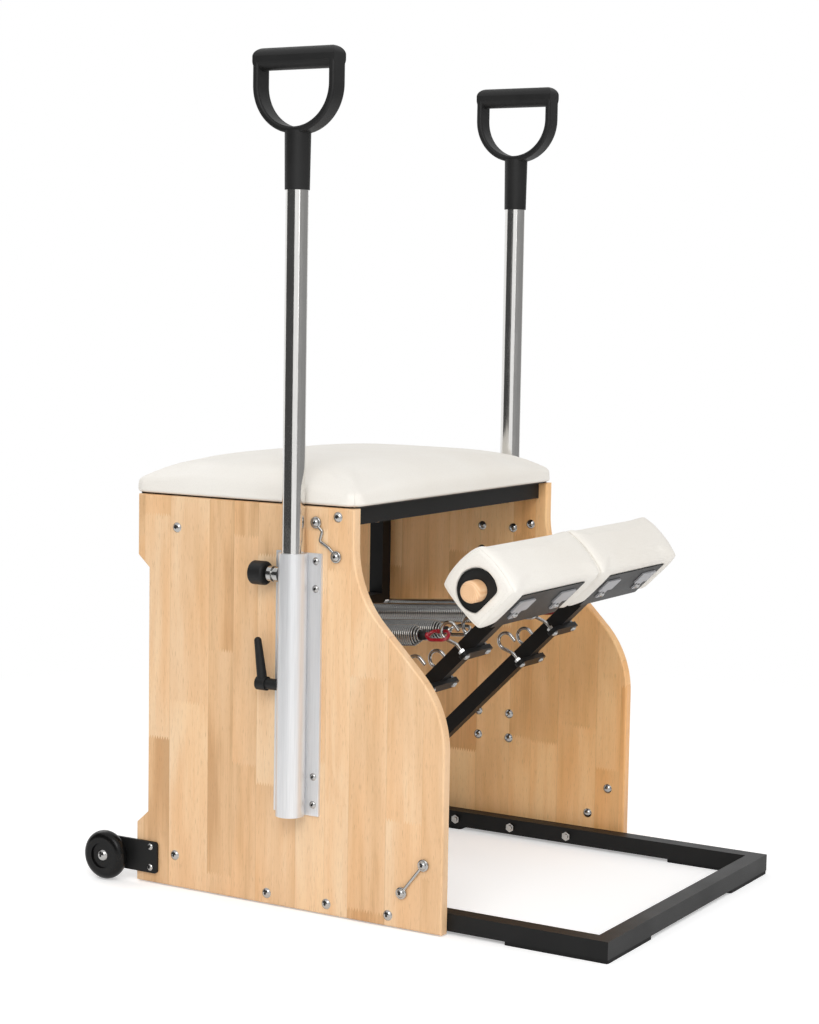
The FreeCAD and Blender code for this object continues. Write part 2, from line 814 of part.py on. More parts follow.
def add_brackets():
    """A bent plate under each pad's heel, with two clips and their bolts on its lower face."""
    left = -pedal_half_spacing - bracket_width / 2
    right = -pedal_half_spacing + bracket_width / 2
    bottom = pad_bottom - bracket_thickness
    top = bottom + bracket_back_height
    outer = box(Vector(left, pad_front + bracket_front_margin, bottom), Vector(right, arm_end, top))
    inner = box(
        Vector(left - cut_overrun, pad_front - cut_overrun, pad_bottom),
        Vector(right + cut_overrun, pad_back, top + cut_overrun),
    )
    bend = [edge for edge in outer.Edges if edge.BoundBox.YMin > pad_back and edge.BoundBox.ZMax < pad_bottom]
    bracket = outer.makeFillet(bracket_bend_radius, bend).cut(inner)
    up = Vector(0, 0, 1)
    hole_length = bracket_thickness + clip_thickness + cut_overrun
    clips = []
    for x, y in clip_places():
        front = y - clip_tongue_length / 2 - clip_length
        low = bottom - clip_thickness
        plate = box(
            Vector(x - clip_width / 2, front, low),
            Vector(x + clip_width / 2, front + clip_length, bottom),
        )
        upright = [edge for edge in plate.Edges if edge.BoundBox.ZLength > clip_thickness / 2]
        plate = plate.makeFillet(clip_corner_radius, upright)
        tongue = box(
            Vector(x - clip_tongue_width / 2, front + clip_length / 2, low),
            Vector(x + clip_tongue_width / 2, y + clip_tongue_length / 2, bottom),
        )
        hole = Part.makeCylinder(clip_bolt_radius + slip_clearance, hole_length, Vector(x, y, low), up)
        clips.append(plate.fuse(tongue).removeSplitter().cut(hole))
        bracket = bracket.cut(hole)
    keep_pedal_pair("pedal_bracket", bracket)
    keep_pedal_pair("pedal_clips", *clips)


def wing_places():
    """Each hook's place on the flat pedal: across and along."""
    places = [-pedal_half_spacing + side * wing_hook_half_spacing for side in (-1, 1)]
    return [(x, -reach) for reach in (wing_upper_reach, wing_lower_reach) for x in places]


def wing_bar(reach):
    """A flat bar across the arm's lower face, round at both ends, for a pair of hooks."""
    low = Vector(-pedal_half_spacing - wing_hook_half_spacing, -reach, wing_bottom)
    high = Vector(-pedal_half_spacing + wing_hook_half_spacing, -reach, wing_bottom)
    up = Vector(0, 0, wing_bar_thickness)
    half = Vector(0, wing_bar_width / 2, 0)
    ends = [bar_between(end, end + up, wing_bar_width / 2) for end in (low, high)]
    return box(low - half, high + half + up).fuse(ends)


def add_arms():
    """One square tube per pedal, with its pivot tube and two wing bars welded on."""
    half = arm_tube_size / 2
    hollow = half - arm_tube_wall
    tube = box(
        Vector(-pedal_half_spacing - half, arm_end, -half),
        Vector(-pedal_half_spacing + half, 0, half),
    )
    bore = box(
        Vector(-pedal_half_spacing - hollow, arm_end - cut_overrun, -hollow),
        Vector(-pedal_half_spacing + hollow, 0, hollow),
    )
    start = Vector(-pedal_half_spacing - pivot_tube_length / 2, 0, 0)
    end = Vector(-pedal_half_spacing + pivot_tube_length / 2, 0, 0)
    overrun = Vector(cut_overrun, 0, 0)
    bush_radius = pivot_shaft_radius + running_clearance + bush_wall
    bars = [wing_bar(reach) for reach in (wing_upper_reach, wing_lower_reach)]
    arm = tube.cut(bore).fuse([bar_between(start, end, pivot_tube_radius)] + bars).removeSplitter()
    arm = arm.cut(bar_between(start - overrun, end + overrun, bush_radius + running_clearance))
    hole_radius = hook_rod_radius + slip_clearance
    hole_length = wing_bar_thickness + 2 * cut_overrun
    for x, y in wing_places():
        arm = arm.cut(Part.makeCylinder(hole_radius, hole_length, Vector(x, y, wing_bottom - cut_overrun)))
    keep_pedal_pair("pedal_arm", arm)
    bushes = []
    for outer_end, side in ((start, -1), (end, 1)):
        inward = Vector(-side * bush_length, 0, 0)
        outward = Vector(side * bush_flange_thickness, 0, 0)
        bush = bar_between(outer_end, outer_end + inward, bush_radius)
        bush = bush.fuse(bar_between(outer_end, outer_end + outward, bush_flange_radius))
        way = bar_between(outer_end + outward, outer_end + inward, pivot_shaft_radius + running_clearance)
        bushes.append(bush.cut(way))
    keep_pedal_pair("pivot_bushes", *bushes)


def hook_rod(x, y):
    """A hook bolt: a shank through the wing bar that curls over at the top and ends free."""
    foot = Vector(x, y, wing_bottom)
    knee = Vector(x, y, hook_bend_rise)
    centre = Vector(x, y - hook_curl_shift, hook_curl_rise)
    towards = centre - knee
    tangent_length = math.sqrt(towards.Length**2 - hook_curl_radius**2)
    lean = math.degrees(math.asin(hook_curl_radius / towards.Length))
    towards.normalize()
    along = FreeCAD.Rotation(Vector(1, 0, 0), -lean).multVec(towards)
    shoulder = knee + along * tangent_length
    crest = centre + Vector(0, 0, hook_curl_radius)
    far_side = centre - Vector(0, hook_curl_radius, 0)
    tip = far_side - Vector(0, 0, hook_tip_drop)
    edges = rounded_edges([foot, knee, shoulder], hook_bend_radius)
    edges.append(Part.Arc(shoulder, crest, far_side).toShape())
    edges.append(Part.LineSegment(far_side, tip).toShape())
    return swept_rod(edges, hook_rod_radius)


def add_hooks():
    keep_pedal_pair("spring_hooks", *[hook_rod(x, y) for x, y in wing_places()])
    up = Vector(0, 0, 1)
    fasteners = []
    for x, y in wing_places():
        nut_place = Vector(x, y, arm_bottom)
        bore = hook_rod_radius + running_clearance
        cap_place = Vector(x, y, wing_bottom)
        fasteners.append(hexagon_nut(hook_nut_radius, hook_nut_height, nut_place, up, bore))
        fasteners.append(dome_cap(cap_place, up, hook_bolt_head_radius, hook_bolt_head_height))
    bottom = pad_bottom - bracket_thickness - clip_thickness
    for x, y in clip_places():
        fasteners.append(
            dome_bolt(
                Vector(x, y, bottom),
                up,
                clip_bolt_head_radius,
                clip_bolt_head_height,
                clip_bolt_radius,
                clip_thickness + bracket_thickness,
            )
        )
    keep_pedal_pair("pedal_fasteners", *fasteners)


def hook_curl_centre():
    """The middle of the upper hooks' curl at rest, with X = 0."""
    flat = Vector(0, -wing_upper_reach - hook_curl_shift, hook_curl_rise)
    turn = FreeCAD.Rotation(Vector(1, 0, 0), -pedal_rest_angle)
    return turn.multVec(flat) + Vector(0, pivot_depth, pivot_height)


def spring_hook_point():
    """The front end of a spring's line at rest, with X = 0. Its link lies low in the hook's curl."""
    centre = hook_curl_centre()
    nose_reach = hook_rod_radius + link_front_play + link_rod_radius
    backwards = (spring_anchor_point() - centre).normalize()
    turn = FreeCAD.Rotation(Vector(1, 0, 0), -link_seat_angle)
    nose = centre + turn.multVec(backwards) * (hook_curl_radius - nose_reach)
    return nose + (spring_anchor_point() - nose).normalize() * nose_reach


def spring_anchor_point():
    return Vector(0, anchor_depth, anchor_height)


def laid_on_spring(shape, x):
    """Moves a shape made along +Y from the hook at the origin onto one spring's line."""
    along = spring_anchor_point() - spring_hook_point()
    shape = shape.copy()
    shape.rotate(Vector(0, 0, 0), Vector(1, 0, 0), math.degrees(math.atan2(along.z, along.y)))
    shape.translate(spring_hook_point() + Vector(x, 0, 0))
    return shape


def spring_length():
    return (spring_anchor_point() - spring_hook_point()).Length


def link_loop(play):
    """A closed oval link round the hook at the origin, with a shank that points along +Y."""
    inside = link_half_width - link_rod_radius
    nose = hook_rod_radius + play
    front = inside - nose
    back = front + link_straight_length
    halves = []
    for side in (-1, 1):
        turn = link_half_width * side
        edges = [
            Part.Arc(
                Vector(0, front - link_half_width, 0),
                Vector(turn * math.sqrt(0.5), front - link_half_width * math.sqrt(0.5), 0),
                Vector(turn, front, 0),
            ).toShape(),
            Part.LineSegment(Vector(turn, front, 0), Vector(turn, back, 0)).toShape(),
            Part.Arc(
                Vector(turn, back, 0),
                Vector(turn * math.sqrt(0.5), back + link_half_width * math.sqrt(0.5), 0),
                Vector(0, back + link_half_width, 0),
            ).toShape(),
        ]
        halves.append(swept_rod(edges, link_rod_radius))
    shank_start = Vector(0, back + link_half_width, 0)
    shank_length = link_rod_radius + plug_length
    shank = Part.makeCylinder(link_shank_radius, shank_length, shank_start, Vector(0, 1, 0))
    return halves[0].fuse([halves[1], shank]).removeSplitter(), shank_start.y + link_rod_radius


def spring_plug(start):
    """A tapered plug that holds the link's shank at the end of a coil."""
    along = Vector(0, 1, 0)
    half = plug_length / 2
    nose = Part.makeCone(plug_nose_radius, spring_outer_radius, half, Vector(0, start, 0), along)
    body = Part.makeCylinder(spring_outer_radius, half, Vector(0, start + half, 0), along)
    way = bar_between(
        Vector(0, start - cut_overrun, 0),
        Vector(0, start + plug_length + cut_overrun, 0),
        link_shank_radius + running_clearance,
    )
    return nose.fuse(body).removeSplitter().cut(way)


def tangent_arc(start, tangent, end):
    """The arc that leaves start along tangent and reaches end."""
    chord = end - start
    angle = tangent.getAngle(chord)
    sideways = tangent - chord * (tangent.dot(chord) / chord.dot(chord))
    sag = chord.Length / 2 * math.tan(angle / 2)
    middle = (start + end) / 2 + sideways.normalize() * sag
    return Part.Arc(start, middle, end).toShape()


def biarc(start, start_tangent, end, end_tangent):
    """Two arcs that join two points and keep both directions."""
    gap = end - start
    both = start_tangent + end_tangent
    bend = 2 * (1 - start_tangent.dot(end_tangent))
    lean = gap.dot(both)
    reach = (math.sqrt(lean**2 + bend * gap.dot(gap)) - lean) / bend
    middle = (start + start_tangent * reach + end - end_tangent * reach) / 2
    first = tangent_arc(start, start_tangent, middle)
    second = tangent_arc(end, -end_tangent, middle)
    return [first, second]


def coil_edges(length):
    """The wire's path along +Y: straight in, a lead-in bend, the turns in half-turn biarcs, and out again."""
    radius = spring_outer_radius - spring_wire_radius
    straight = 2 * spring_wire_radius
    first = straight + spring_lead_length
    last = length - straight - spring_lead_length
    pitch = (last - first) / spring_turns
    flow = Vector(2 * math.pi * radius, pitch, 0).normalize()

    def place(turns):
        angle = 2 * math.pi * turns
        return Vector(radius * math.sin(angle), first + pitch * turns, radius * math.cos(angle))

    def heading(turns):
        angle = 2 * math.pi * turns
        return Vector(flow.x * math.cos(angle), flow.y, -flow.x * math.sin(angle))

    lead_turns = spring_lead_angle / 360
    axial = Vector(0, 1, 0)
    start_place = place(-lead_turns)
    start_place.y = straight
    end_place = place(spring_turns + lead_turns)
    end_place.y = length - straight
    edges = [Part.LineSegment(start_place - axial * straight, start_place).toShape()]
    edges += biarc(start_place, axial, place(0), heading(0))
    for half in range(2 * spring_turns):
        edges += biarc(place(half / 2), heading(half / 2), place((half + 1) / 2), heading((half + 1) / 2))
    edges += biarc(place(spring_turns), heading(spring_turns), end_place, axial)
    edges.append(Part.LineSegment(end_place, end_place + axial * straight).toShape())
    return edges


def coil_gap(edges):
    """The least gap between the wire and itself, measured between points a half turn or more apart."""
    points = []
    walked = 0
    radius = spring_outer_radius - spring_wire_radius
    for edge in edges:
        for point in edge.discretize(spring_samples_per_edge + 1)[:-1]:
            points.append((walked + (point - edge.Vertexes[0].Point).Length, point))
        walked += edge.Length
    apart = math.pi * radius
    return min(
        (a - b).Length
        for number, (way, a) in enumerate(points)
        for other_way, b in points[number + 1 :]
        if other_way - way > apart
    ) - 2 * spring_wire_radius


def add_springs():
    """Two coil springs per pedal, each between a link on an arm hook and a link on a rear eye."""
    whole = spring_length()
    front_link, front_face = link_loop(link_front_play)
    rear_link, rear_face = link_loop(link_rear_play)
    coil_start = front_face + plug_length + seat_clearance
    coil_length = whole - coil_start - rear_face - plug_length - seat_clearance
    edges = coil_edges(coil_length)
    coil = swept_rod(edges, spring_wire_radius)
    coil.translate(Vector(0, coil_start, 0))
    wire_volume = math.pi * spring_wire_radius**2 * sum(edge.Length for edge in edges)
    print("coil: valid", coil.isValid(), "volume share", coil.Volume / wire_volume)
    print("coil: least gap to itself", coil_gap(edges))
    front_plug = spring_plug(front_face)
    turned = FreeCAD.Rotation(Vector(0, 0, 1), 180)
    rear_solids = []
    for solid in (rear_link, spring_plug(rear_face)):
        solid = solid.copy()
        solid.Placement = FreeCAD.Placement(Vector(0, whole, 0), turned).multiply(solid.Placement)
        rear_solids.append(solid)
    places = [-pedal_half_spacing + side * wing_hook_half_spacing for side in (-1, 1)]
    keep_pair("spring_coils", *[laid_on_spring(coil, x) for x in places])
    keep_pair("spring_plugs", *[laid_on_spring(front_plug, x) for x in places])
    keep_pair("snap_hooks", *[laid_on_spring(front_link, x) for x in places])
    keep_pair("spring_tails", *[laid_on_spring(solid, x) for x in places for solid in rear_solids])


def add_anchor_bar():
    """The bar between the rear posts, with an eye bolt for each spring."""
    low = Vector(-rail_inner_x, post_front, anchor_height - tube_size / 2)
    high = Vector(rail_inner_x, post_back, anchor_height + tube_size / 2)
    bar = square_tube(low, high, "x")
    places = [
        side * pedal_half_spacing + offset
        for side in (-1, 1)
        for offset in (-wing_hook_half_spacing, wing_hook_half_spacing)
    ]
    eyes = []
    for x in places:
        centre = Vector(x, eye_depth, anchor_height)
        ring = Part.makeTorus(anchor_eye_radius, anchor_rod_radius, centre, Vector(1, 0, 0))
        start = centre + Vector(0, anchor_eye_radius, 0)
        end = Vector(x, post_back + anchor_nut_height, anchor_height)
        hole = bar_between(
            Vector(x, post_front - cut_overrun, anchor_height),
            Vector(x, post_back + cut_overrun, anchor_height),
            anchor_rod_radius + slip_clearance,
        )
        bar = bar.cut(hole)
        nut = hexagon_nut(
            anchor_nut_radius,
            anchor_nut_height,
            Vector(x, post_back, anchor_height),
            Vector(0, 1, 0),
            anchor_rod_radius + running_clearance,
        )
        eyes += [ring.fuse(bar_between(start, end, anchor_rod_radius)).removeSplitter(), nut]
    keep("spring_anchor_bar", bar)
    keep("spring_anchor_eyes", *eyes)


def sleeve_axis(height):
    return Vector(-sleeve_axis_x, sleeve_depth_place, height)


def add_sleeves():
    """Aluminium sleeves on the panels' outer faces, with flanges for the bolts and a bore for the pole."""
    low = sleeve_axis(sleeve_low_height)
    high = sleeve_axis(sleeve_high_height)
    round_side = bar_between(low, high, sleeve_radius)
    web_half = Vector(0, sleeve_web_half_width, 0)
    web = box(low - web_half, high + web_half + Vector(sleeve_axis_offset, 0, 0))
    flange_face = -outer_x - sleeve_flange_thickness
    flange = box(
        Vector(flange_face, sleeve_depth_place - sleeve_flange_width / 2, sleeve_low_height),
        Vector(-outer_x, sleeve_depth_place + sleeve_flange_width / 2, sleeve_high_height),
    )
    limit = box(
        low - Vector(sleeve_radius, sleeve_flange_width / 2, 0),
        high + Vector(sleeve_axis_offset, sleeve_flange_width / 2, 0),
    )
    overrun = Vector(0, 0, cut_overrun)
    way = bar_between(low - overrun, high + overrun, pole_radius + seat_clearance)
    sleeve = round_side.fuse([web, flange]).common(limit).removeSplitter().cut(way)
    for height, radius in ((pin_height, pin_radius), (clamp_height, clamp_screw_radius)):
        start = sleeve_axis(height)
        end = Vector(start.x, sleeve_back + cut_overrun, height)
        sleeve = sleeve.cut(bar_between(start, end, radius + running_clearance))
    outward_holes = [
        bar_between(
            Vector(flange_face - cut_overrun, y, z),
            Vector(-outer_x + cut_overrun, y, z),
            sleeve_bolt_radius + slip_clearance,
        )
        for y, z in sleeve_bolt_places()
    ]
    keep_pair("handle_sleeve", sleeve.cut(outward_holes))
    solids = []
    through = sleeve_flange_thickness + panel_thickness
    inward = Vector(1, 0, 0)
    for y, z in sleeve_bolt_places():
        bolt = dome_bolt(
            Vector(flange_face, y, z),
            inward,
            sleeve_bolt_head_radius,
            sleeve_bolt_head_height,
            sleeve_bolt_radius,
            through,
        )
        cap = dome_cap(Vector(-inner_x, y, z), -inward, panel_bolt_head_radius, panel_bolt_head_height)
        solids += [bolt, cap]
    keep("sleeve_bolts", *(solids + [mirrored(solid) for solid in solids]))


def add_poles():
    """Steel poles with a row of index holes at the back for the pull pin."""
    low = sleeve_axis(pole_low_height)
    high = sleeve_axis(grip_low_height + grip_socket_depth)
    pole = bar_between(low, high, pole_radius).cut(bar_between(low, high, pole_radius - pole_wall))
    hole_radius = pin_radius + slip_clearance
    for number in range(-index_holes_below, index_holes_above + 1):
        start = sleeve_axis(pin_height + number * index_pitch)
        end = start + Vector(0, pole_radius + cut_overrun, 0)
        pole = pole.cut(bar_between(start, end, hole_radius))
    keep_pair("handle_pole", pole)


def grip_outline(half_width, top, corner):
    """A D on its back at X = 0: flat top with round corners, straight sides and a half-round bottom."""
    diagonal = corner * (1 - math.sqrt(0.5))
    bottom = Vector(0, 0, grip_belt_height - half_width)
    left_belt = Vector(0, -half_width, grip_belt_height)
    left_top = Vector(0, -half_width, top - corner)
    top_left = Vector(0, -half_width + corner, top)
    top_right = Vector(0, half_width - corner, top)
    right_top = Vector(0, half_width, top - corner)
    right_belt = Vector(0, half_width, grip_belt_height)
    edges = [
        Part.LineSegment(left_belt, left_top),
        Part.Arc(left_top, Vector(0, -half_width + diagonal, top - diagonal), top_left),
        Part.LineSegment(top_left, top_right),
        Part.Arc(top_right, Vector(0, half_width - diagonal, top - diagonal), right_top),
        Part.LineSegment(right_top, right_belt),
        Part.Arc(right_belt, bottom, left_belt),
    ]
    return Part.Face(Part.Wire([edge.toShape() for edge in edges]))


def add_grips():
    """Moulded hand grips: a flat band bent to a D, a round bar across its top and a socket for the pole."""
    thickness = Vector(grip_thickness, 0, 0)
    opening_half = grip_half_width - grip_arm_width
    bar_axis = grip_top_height - grip_bar_radius
    outer = grip_outline(grip_half_width, grip_top_height, grip_corner_radius).extrude(thickness)
    opening_corner = grip_corner_radius - grip_arm_width
    opening = grip_outline(opening_half, grip_top_height - grip_arm_width, opening_corner).extrude(thickness)
    band = outer.cut(opening)
    above = box(
        Vector(-cut_overrun, -grip_half_width - cut_overrun, bar_axis),
        Vector(grip_thickness + cut_overrun, grip_half_width + cut_overrun, grip_top_height + cut_overrun),
    )
    band = band.cut(above)
    flat_edges = [edge for edge in band.Edges if edge.BoundBox.XLength < grip_round]
    rims = [edge for edge in flat_edges if edge.BoundBox.ZLength > grip_round]
    band = band.makeFillet(grip_round, rims)
    middle = Vector(grip_thickness / 2, 0, bar_axis)
    reach = Vector(0, grip_half_width, 0)
    bar = bar_between(middle - reach, middle + reach, grip_bar_radius).common(outer)
    for shape in (band, bar, opening):
        shape.translate(Vector(-sleeve_axis_x - grip_thickness / 2, sleeve_depth_place, 0))
    low = sleeve_axis(grip_low_height)
    neck_height = grip_belt_height - grip_half_width + grip_arm_width / 2
    up = Vector(0, 0, 1)
    socket = Part.makeCone(
        grip_socket_low_radius, grip_socket_high_radius, neck_height - grip_low_height, low, up
    ).cut(opening)
    way = bar_between(
        low - up * cut_overrun,
        sleeve_axis(grip_low_height + grip_socket_depth),
        pole_radius + running_clearance,
    )
    keep_pair("handle_grip", band.fuse([bar, socket]).removeSplitter().cut(way))


def add_pull_pins():
    """A pin behind each sleeve, drawn out of the pole and held there, with its collar on the sleeve."""
    backwards = Vector(0, 1, 0)
    seat = Vector(-sleeve_axis_x, sleeve_back, pin_height)
    collar_end = seat + backwards * pin_collar_length
    groove_start = seat + backwards * ((pin_collar_length - pin_groove_width) / 2)
    groove_end = groove_start + backwards * pin_groove_width
    groove = bar_between(groove_start, groove_end, pin_collar_radius + cut_overrun)
    groove = groove.cut(bar_between(groove_start, groove_end, pin_groove_radius))
    way = bar_between(seat, collar_end, pin_radius + running_clearance)
    collar = bar_between(seat, collar_end, pin_collar_radius).cut([groove, way])
    keep("pin_collars", collar, mirrored(collar))
    tip = Vector(-sleeve_axis_x, sleeve_depth_place + pole_radius + pin_tip_gap, pin_height)
    knob_start = collar_end + backwards * (pin_travel + seat_clearance)
    knob_end = knob_start + backwards * pin_knob_length
    knob = bar_between(knob_start, knob_end, pin_knob_radius)
    rims = [edge for edge in knob.Edges if edge.BoundBox.YLength < pin_knob_round]
    knob = knob.makeFillet(pin_knob_round, rims)
    keep_pair("pull_pin", bar_between(tip, knob_start, pin_radius).fuse(knob).removeSplitter())


def add_clamp_levers():
    """A clamp screw behind each sleeve, turned by a lever that points up at rest."""
    backwards = Vector(0, 1, 0)
    axis = Vector(-sleeve_axis_x, 0, clamp_height)
    tip = axis + backwards * (sleeve_depth_place + pole_radius + clamp_tip_gap)
    face = axis + backwards * (sleeve_back + seat_clearance)
    neck_end = face + backwards * clamp_neck_length
    hub_end = neck_end + backwards * clamp_hub_length
    hub_middle = (neck_end + hub_end) / 2
    arm_end_place = hub_middle + Vector(0, clamp_arm_lean, clamp_arm_length)
    arm_way = arm_end_place - hub_middle
    arm = Part.makeCone(clamp_arm_root_radius, clamp_arm_tip_radius, arm_way.Length, hub_middle, arm_way)
    knob = Part.makeSphere(clamp_arm_tip_radius, arm_end_place)
    solids = [
        bar_between(face, neck_end, clamp_neck_radius),
        bar_between(neck_end, hub_end, clamp_hub_radius),
        arm,
        knob,
    ]
    keep_pair("clamp_lever", bar_between(tip, face, clamp_screw_radius).fuse(solids).removeSplitter())


def add_wheels():
    """Tilt wheels behind the panels: each on an axle bolt through a bracket plate."""
    outward = Vector(-1, 0, 0)
    plate_x = -outer_x - bracket_plate_thickness
    axle_place = Vector(-outer_x, wheel_axis_depth, wheel_axis_height)
    front = panel_depth - wheel_bracket_front_margin
    half_height = (wheel_bracket_high_height - wheel_bracket_low_height) / 2
    middle_height = wheel_bracket_low_height + half_height
    half_length = (wheel_axis_depth + half_height - front) / 2
    outline = rounded_rectangle(half_height, front + half_length, half_length, wheel_bracket_corner_radius, 0)
    bracket = Part.Face(outline).extrude(Vector(0, 0, bracket_plate_thickness))
    bracket.rotate(Vector(0, 0, 0), Vector(0, 1, 0), 90)
    bracket.translate(Vector(plate_x, 0, middle_height))
    axle_hole = bar_between(
        axle_place - outward * cut_overrun,
        axle_place + outward * (bracket_plate_thickness + cut_overrun),
        axle_radius + slip_clearance,
    )
    screw_holes = [
        bar_between(
            Vector(plate_x - cut_overrun, y, z),
            Vector(-outer_x + cut_overrun, y, z),
            wheel_bracket_screw_radius + slip_clearance,
        )
        for y, z in wheel_screw_places()
    ]
    bracket = bracket.cut([axle_hole] + screw_holes)
    keep("wheel_brackets", bracket, mirrored(bracket))
    wheel_start = axle_place + outward * (bracket_plate_thickness + axle_spacer_length + seat_clearance)
    wheel_end = wheel_start + outward * wheel_width
    tyre = bar_between(wheel_start, wheel_end, wheel_radius)
    rims = [edge for edge in tyre.Edges if edge.BoundBox.XLength < wheel_round]
    tyre = tyre.makeFillet(wheel_round, rims)
    for face, direction in ((wheel_start, outward), (wheel_end, -outward)):
        tyre = tyre.cut(bar_between(face, face + direction * wheel_hub_recess, wheel_hub_radius))
    tyre = tyre.cut(bar_between(wheel_start, wheel_end, axle_radius + running_clearance))
    keep_pair("wheel", tyre)
    spacer_start = axle_place + outward * bracket_plate_thickness
    spacer = bar_between(spacer_start, spacer_start + outward * axle_spacer_length, axle_spacer_radius)
    head_place = wheel_end + outward * (seat_clearance - wheel_hub_recess)
    shank = bar_between(axle_place, head_place, axle_radius)
    head = dome_cap(head_place, -outward, axle_head_radius, axle_head_height)
    solids = [shank.fuse([spacer, head]).removeSplitter()]
    for y, z in wheel_screw_places():
        solids.append(
            dome_bolt(
                Vector(plate_x, y, z),
                -outward,
                wheel_bracket_screw_head_radius,
                wheel_bracket_screw_head_height,
                wheel_bracket_screw_radius,
                bracket_plate_thickness + panel_thickness,
            )
        )
    keep("wheel_fasteners", *(solids + [mirrored(solid) for solid in solids]))


def strap_wire(top, low, offsets):
    """A wire between two eyes on the left panel's outer face. The offsets move it sideways in waves."""
    x = -outer_x - strap_wire_radius
    start = Vector(x, *top)
    end = Vector(x, *low)
    along = (end - start).normalize()
    across = Vector(0, -along.z, along.y)
    span = (end - start).Length
    points = [start + along * strap_eye_radius]
    for offset, share in zip(offsets, strap_wave_shares):
        points.append(start + along * (share * span) + across * offset)
    points.append(end - along * strap_eye_radius)
    if offsets:
        edges = rounded_edges(points, strap_wave_radius)
    else:
        edges = [Part.LineSegment(points[0], points[-1]).toShape()]
    outward = Vector(1, 0, 0)
    eyes = [Part.makeTorus(strap_eye_radius, strap_wire_radius, place, outward) for place in (start, end)]
    return swept_rod(edges, strap_wire_radius).fuse(eyes).removeSplitter()


def add_strap_anchors():
    upper = strap_wire(strap_upper_top_place, strap_upper_low_place, strap_wave_offsets)
    lower = strap_wire(strap_lower_top_place, strap_lower_low_place, ())
    keep("strap_anchor_wires", upper, lower, mirrored(upper), mirrored(lower))
    inward = Vector(1, 0, 0)
    proud = 2 * strap_wire_radius
    solids = []
    for y, z in strap_bolt_places():
        head = Vector(-outer_x - proud, y, z)
        length = proud + panel_thickness
        solids.append(
            dome_bolt(head, inward, strap_bolt_head_radius, strap_bolt_head_height, strap_bolt_radius, length)
        )
        cap_place = Vector(-inner_x, y, z)
        solids.append(dome_cap(cap_place, -inward, panel_bolt_head_radius, panel_bolt_head_height))
    keep("strap_anchor_bolts", *(solids + [mirrored(solid) for solid in solids]))


def main():
    add_panels()
    add_frame()
    add_foot_pads()
    add_panel_bolts()
    add_seat()
    add_pivot()
    add_pads()
    add_dowel()
    add_brackets()
    add_arms()
    add_hooks()
    add_springs()
    add_anchor_bar()
    add_sleeves()
    add_poles()
    add_grips()
    add_pull_pins()
    add_clamp_levers()
    add_wheels()
    add_strap_anchors()
    os.makedirs("parts", exist_ok=True)
    for node, shape in parts.items():
        shape.exportStep(os.path.join("parts", node + ".step"))
    print(len(parts), "nodes")


if __name__ == "__main__":
    main()
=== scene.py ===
import json
import math

import bmesh
import bpy
from mathutils import Matrix, Vector
from mathutils.bvhtree import BVHTree


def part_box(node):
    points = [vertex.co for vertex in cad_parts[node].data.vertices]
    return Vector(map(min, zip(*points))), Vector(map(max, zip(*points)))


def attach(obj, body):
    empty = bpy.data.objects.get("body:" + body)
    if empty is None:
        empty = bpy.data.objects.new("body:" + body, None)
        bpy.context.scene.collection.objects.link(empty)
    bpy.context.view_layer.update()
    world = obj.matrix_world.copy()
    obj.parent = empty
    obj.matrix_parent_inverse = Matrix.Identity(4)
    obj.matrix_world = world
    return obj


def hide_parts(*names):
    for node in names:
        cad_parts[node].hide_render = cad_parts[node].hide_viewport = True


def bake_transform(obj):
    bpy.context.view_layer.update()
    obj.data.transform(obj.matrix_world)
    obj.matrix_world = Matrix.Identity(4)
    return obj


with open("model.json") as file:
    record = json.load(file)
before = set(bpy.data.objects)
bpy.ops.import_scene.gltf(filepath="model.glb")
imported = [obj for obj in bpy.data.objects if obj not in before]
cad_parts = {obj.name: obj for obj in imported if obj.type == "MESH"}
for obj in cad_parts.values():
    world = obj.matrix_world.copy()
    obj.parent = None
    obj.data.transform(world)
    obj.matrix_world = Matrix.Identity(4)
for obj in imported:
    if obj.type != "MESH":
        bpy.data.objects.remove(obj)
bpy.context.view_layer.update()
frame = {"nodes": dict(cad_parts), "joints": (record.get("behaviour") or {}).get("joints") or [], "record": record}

# All lengths are in metres, in the part's own frame: +Z up, the pedals towards -Y.
sides = ("left", "right")

# Camera, at the photograph's place
camera_place = Vector((-2.856, -1.64205, 0.8718))
camera_yaw = math.radians(59.232)
camera_pitch = math.radians(5.553)
camera_roll = math.radians(0.979)
camera_lens_mm = 77.37
camera_sensor_mm = 36.0

# Light and floor
white = (1.0, 1.0, 1.0, 1.0)
black = (0.0, 0.0, 0.0, 1.0)
floor_size = 40.0
floor_albedo = 0.9
floor_glow = 0.34
floor_fade_start = 0.75
floor_fade_end = 1.9
sky_level = 0.62
backdrop_level = 1.0
key_place = Vector((-3.3, -1.3, 2.7))
key_size = 2.4
key_power = 58.0
fill_place = Vector((-1.0, -3.3, 1.3))
fill_size = 2.6
fill_power = 32.0
back_place = Vector((0.8, 2.8, 2.6))
back_size = 2.4
back_power = 26.0
lamp_aim = Vector((0.0, 0.0, 0.45))

# Screens that only mirrors see, as (name, first bearing, last bearing, brightness).
# A bearing is counted in degrees from the camera, as seen from the part, and grows to the camera's left.
screens = (("dark_screen", 20.0, 106.0, 0.07), ("grey_screen", -140.0, -25.0, 0.30))
screen_distance = 3.2
screen_low = -0.4
screen_high = 2.4
screen_steps = 24

# Wood of the side panels: upright staves glued from short blocks with finger joints
stave_width = 0.052
stave_wander_share = 0.18
stave_wander_length = 0.17
block_length = 0.33
finger_pitch = 0.0045
finger_depth = 0.006
glue_line_share = 0.012
stave_side_shift_share = 0.31
stagger_blocks = 9.0
block_tones = (0.12, 0.9)
block_grain_shifts = (3.7, 5.3, 7.1)
lacquer_bump = 0.00012

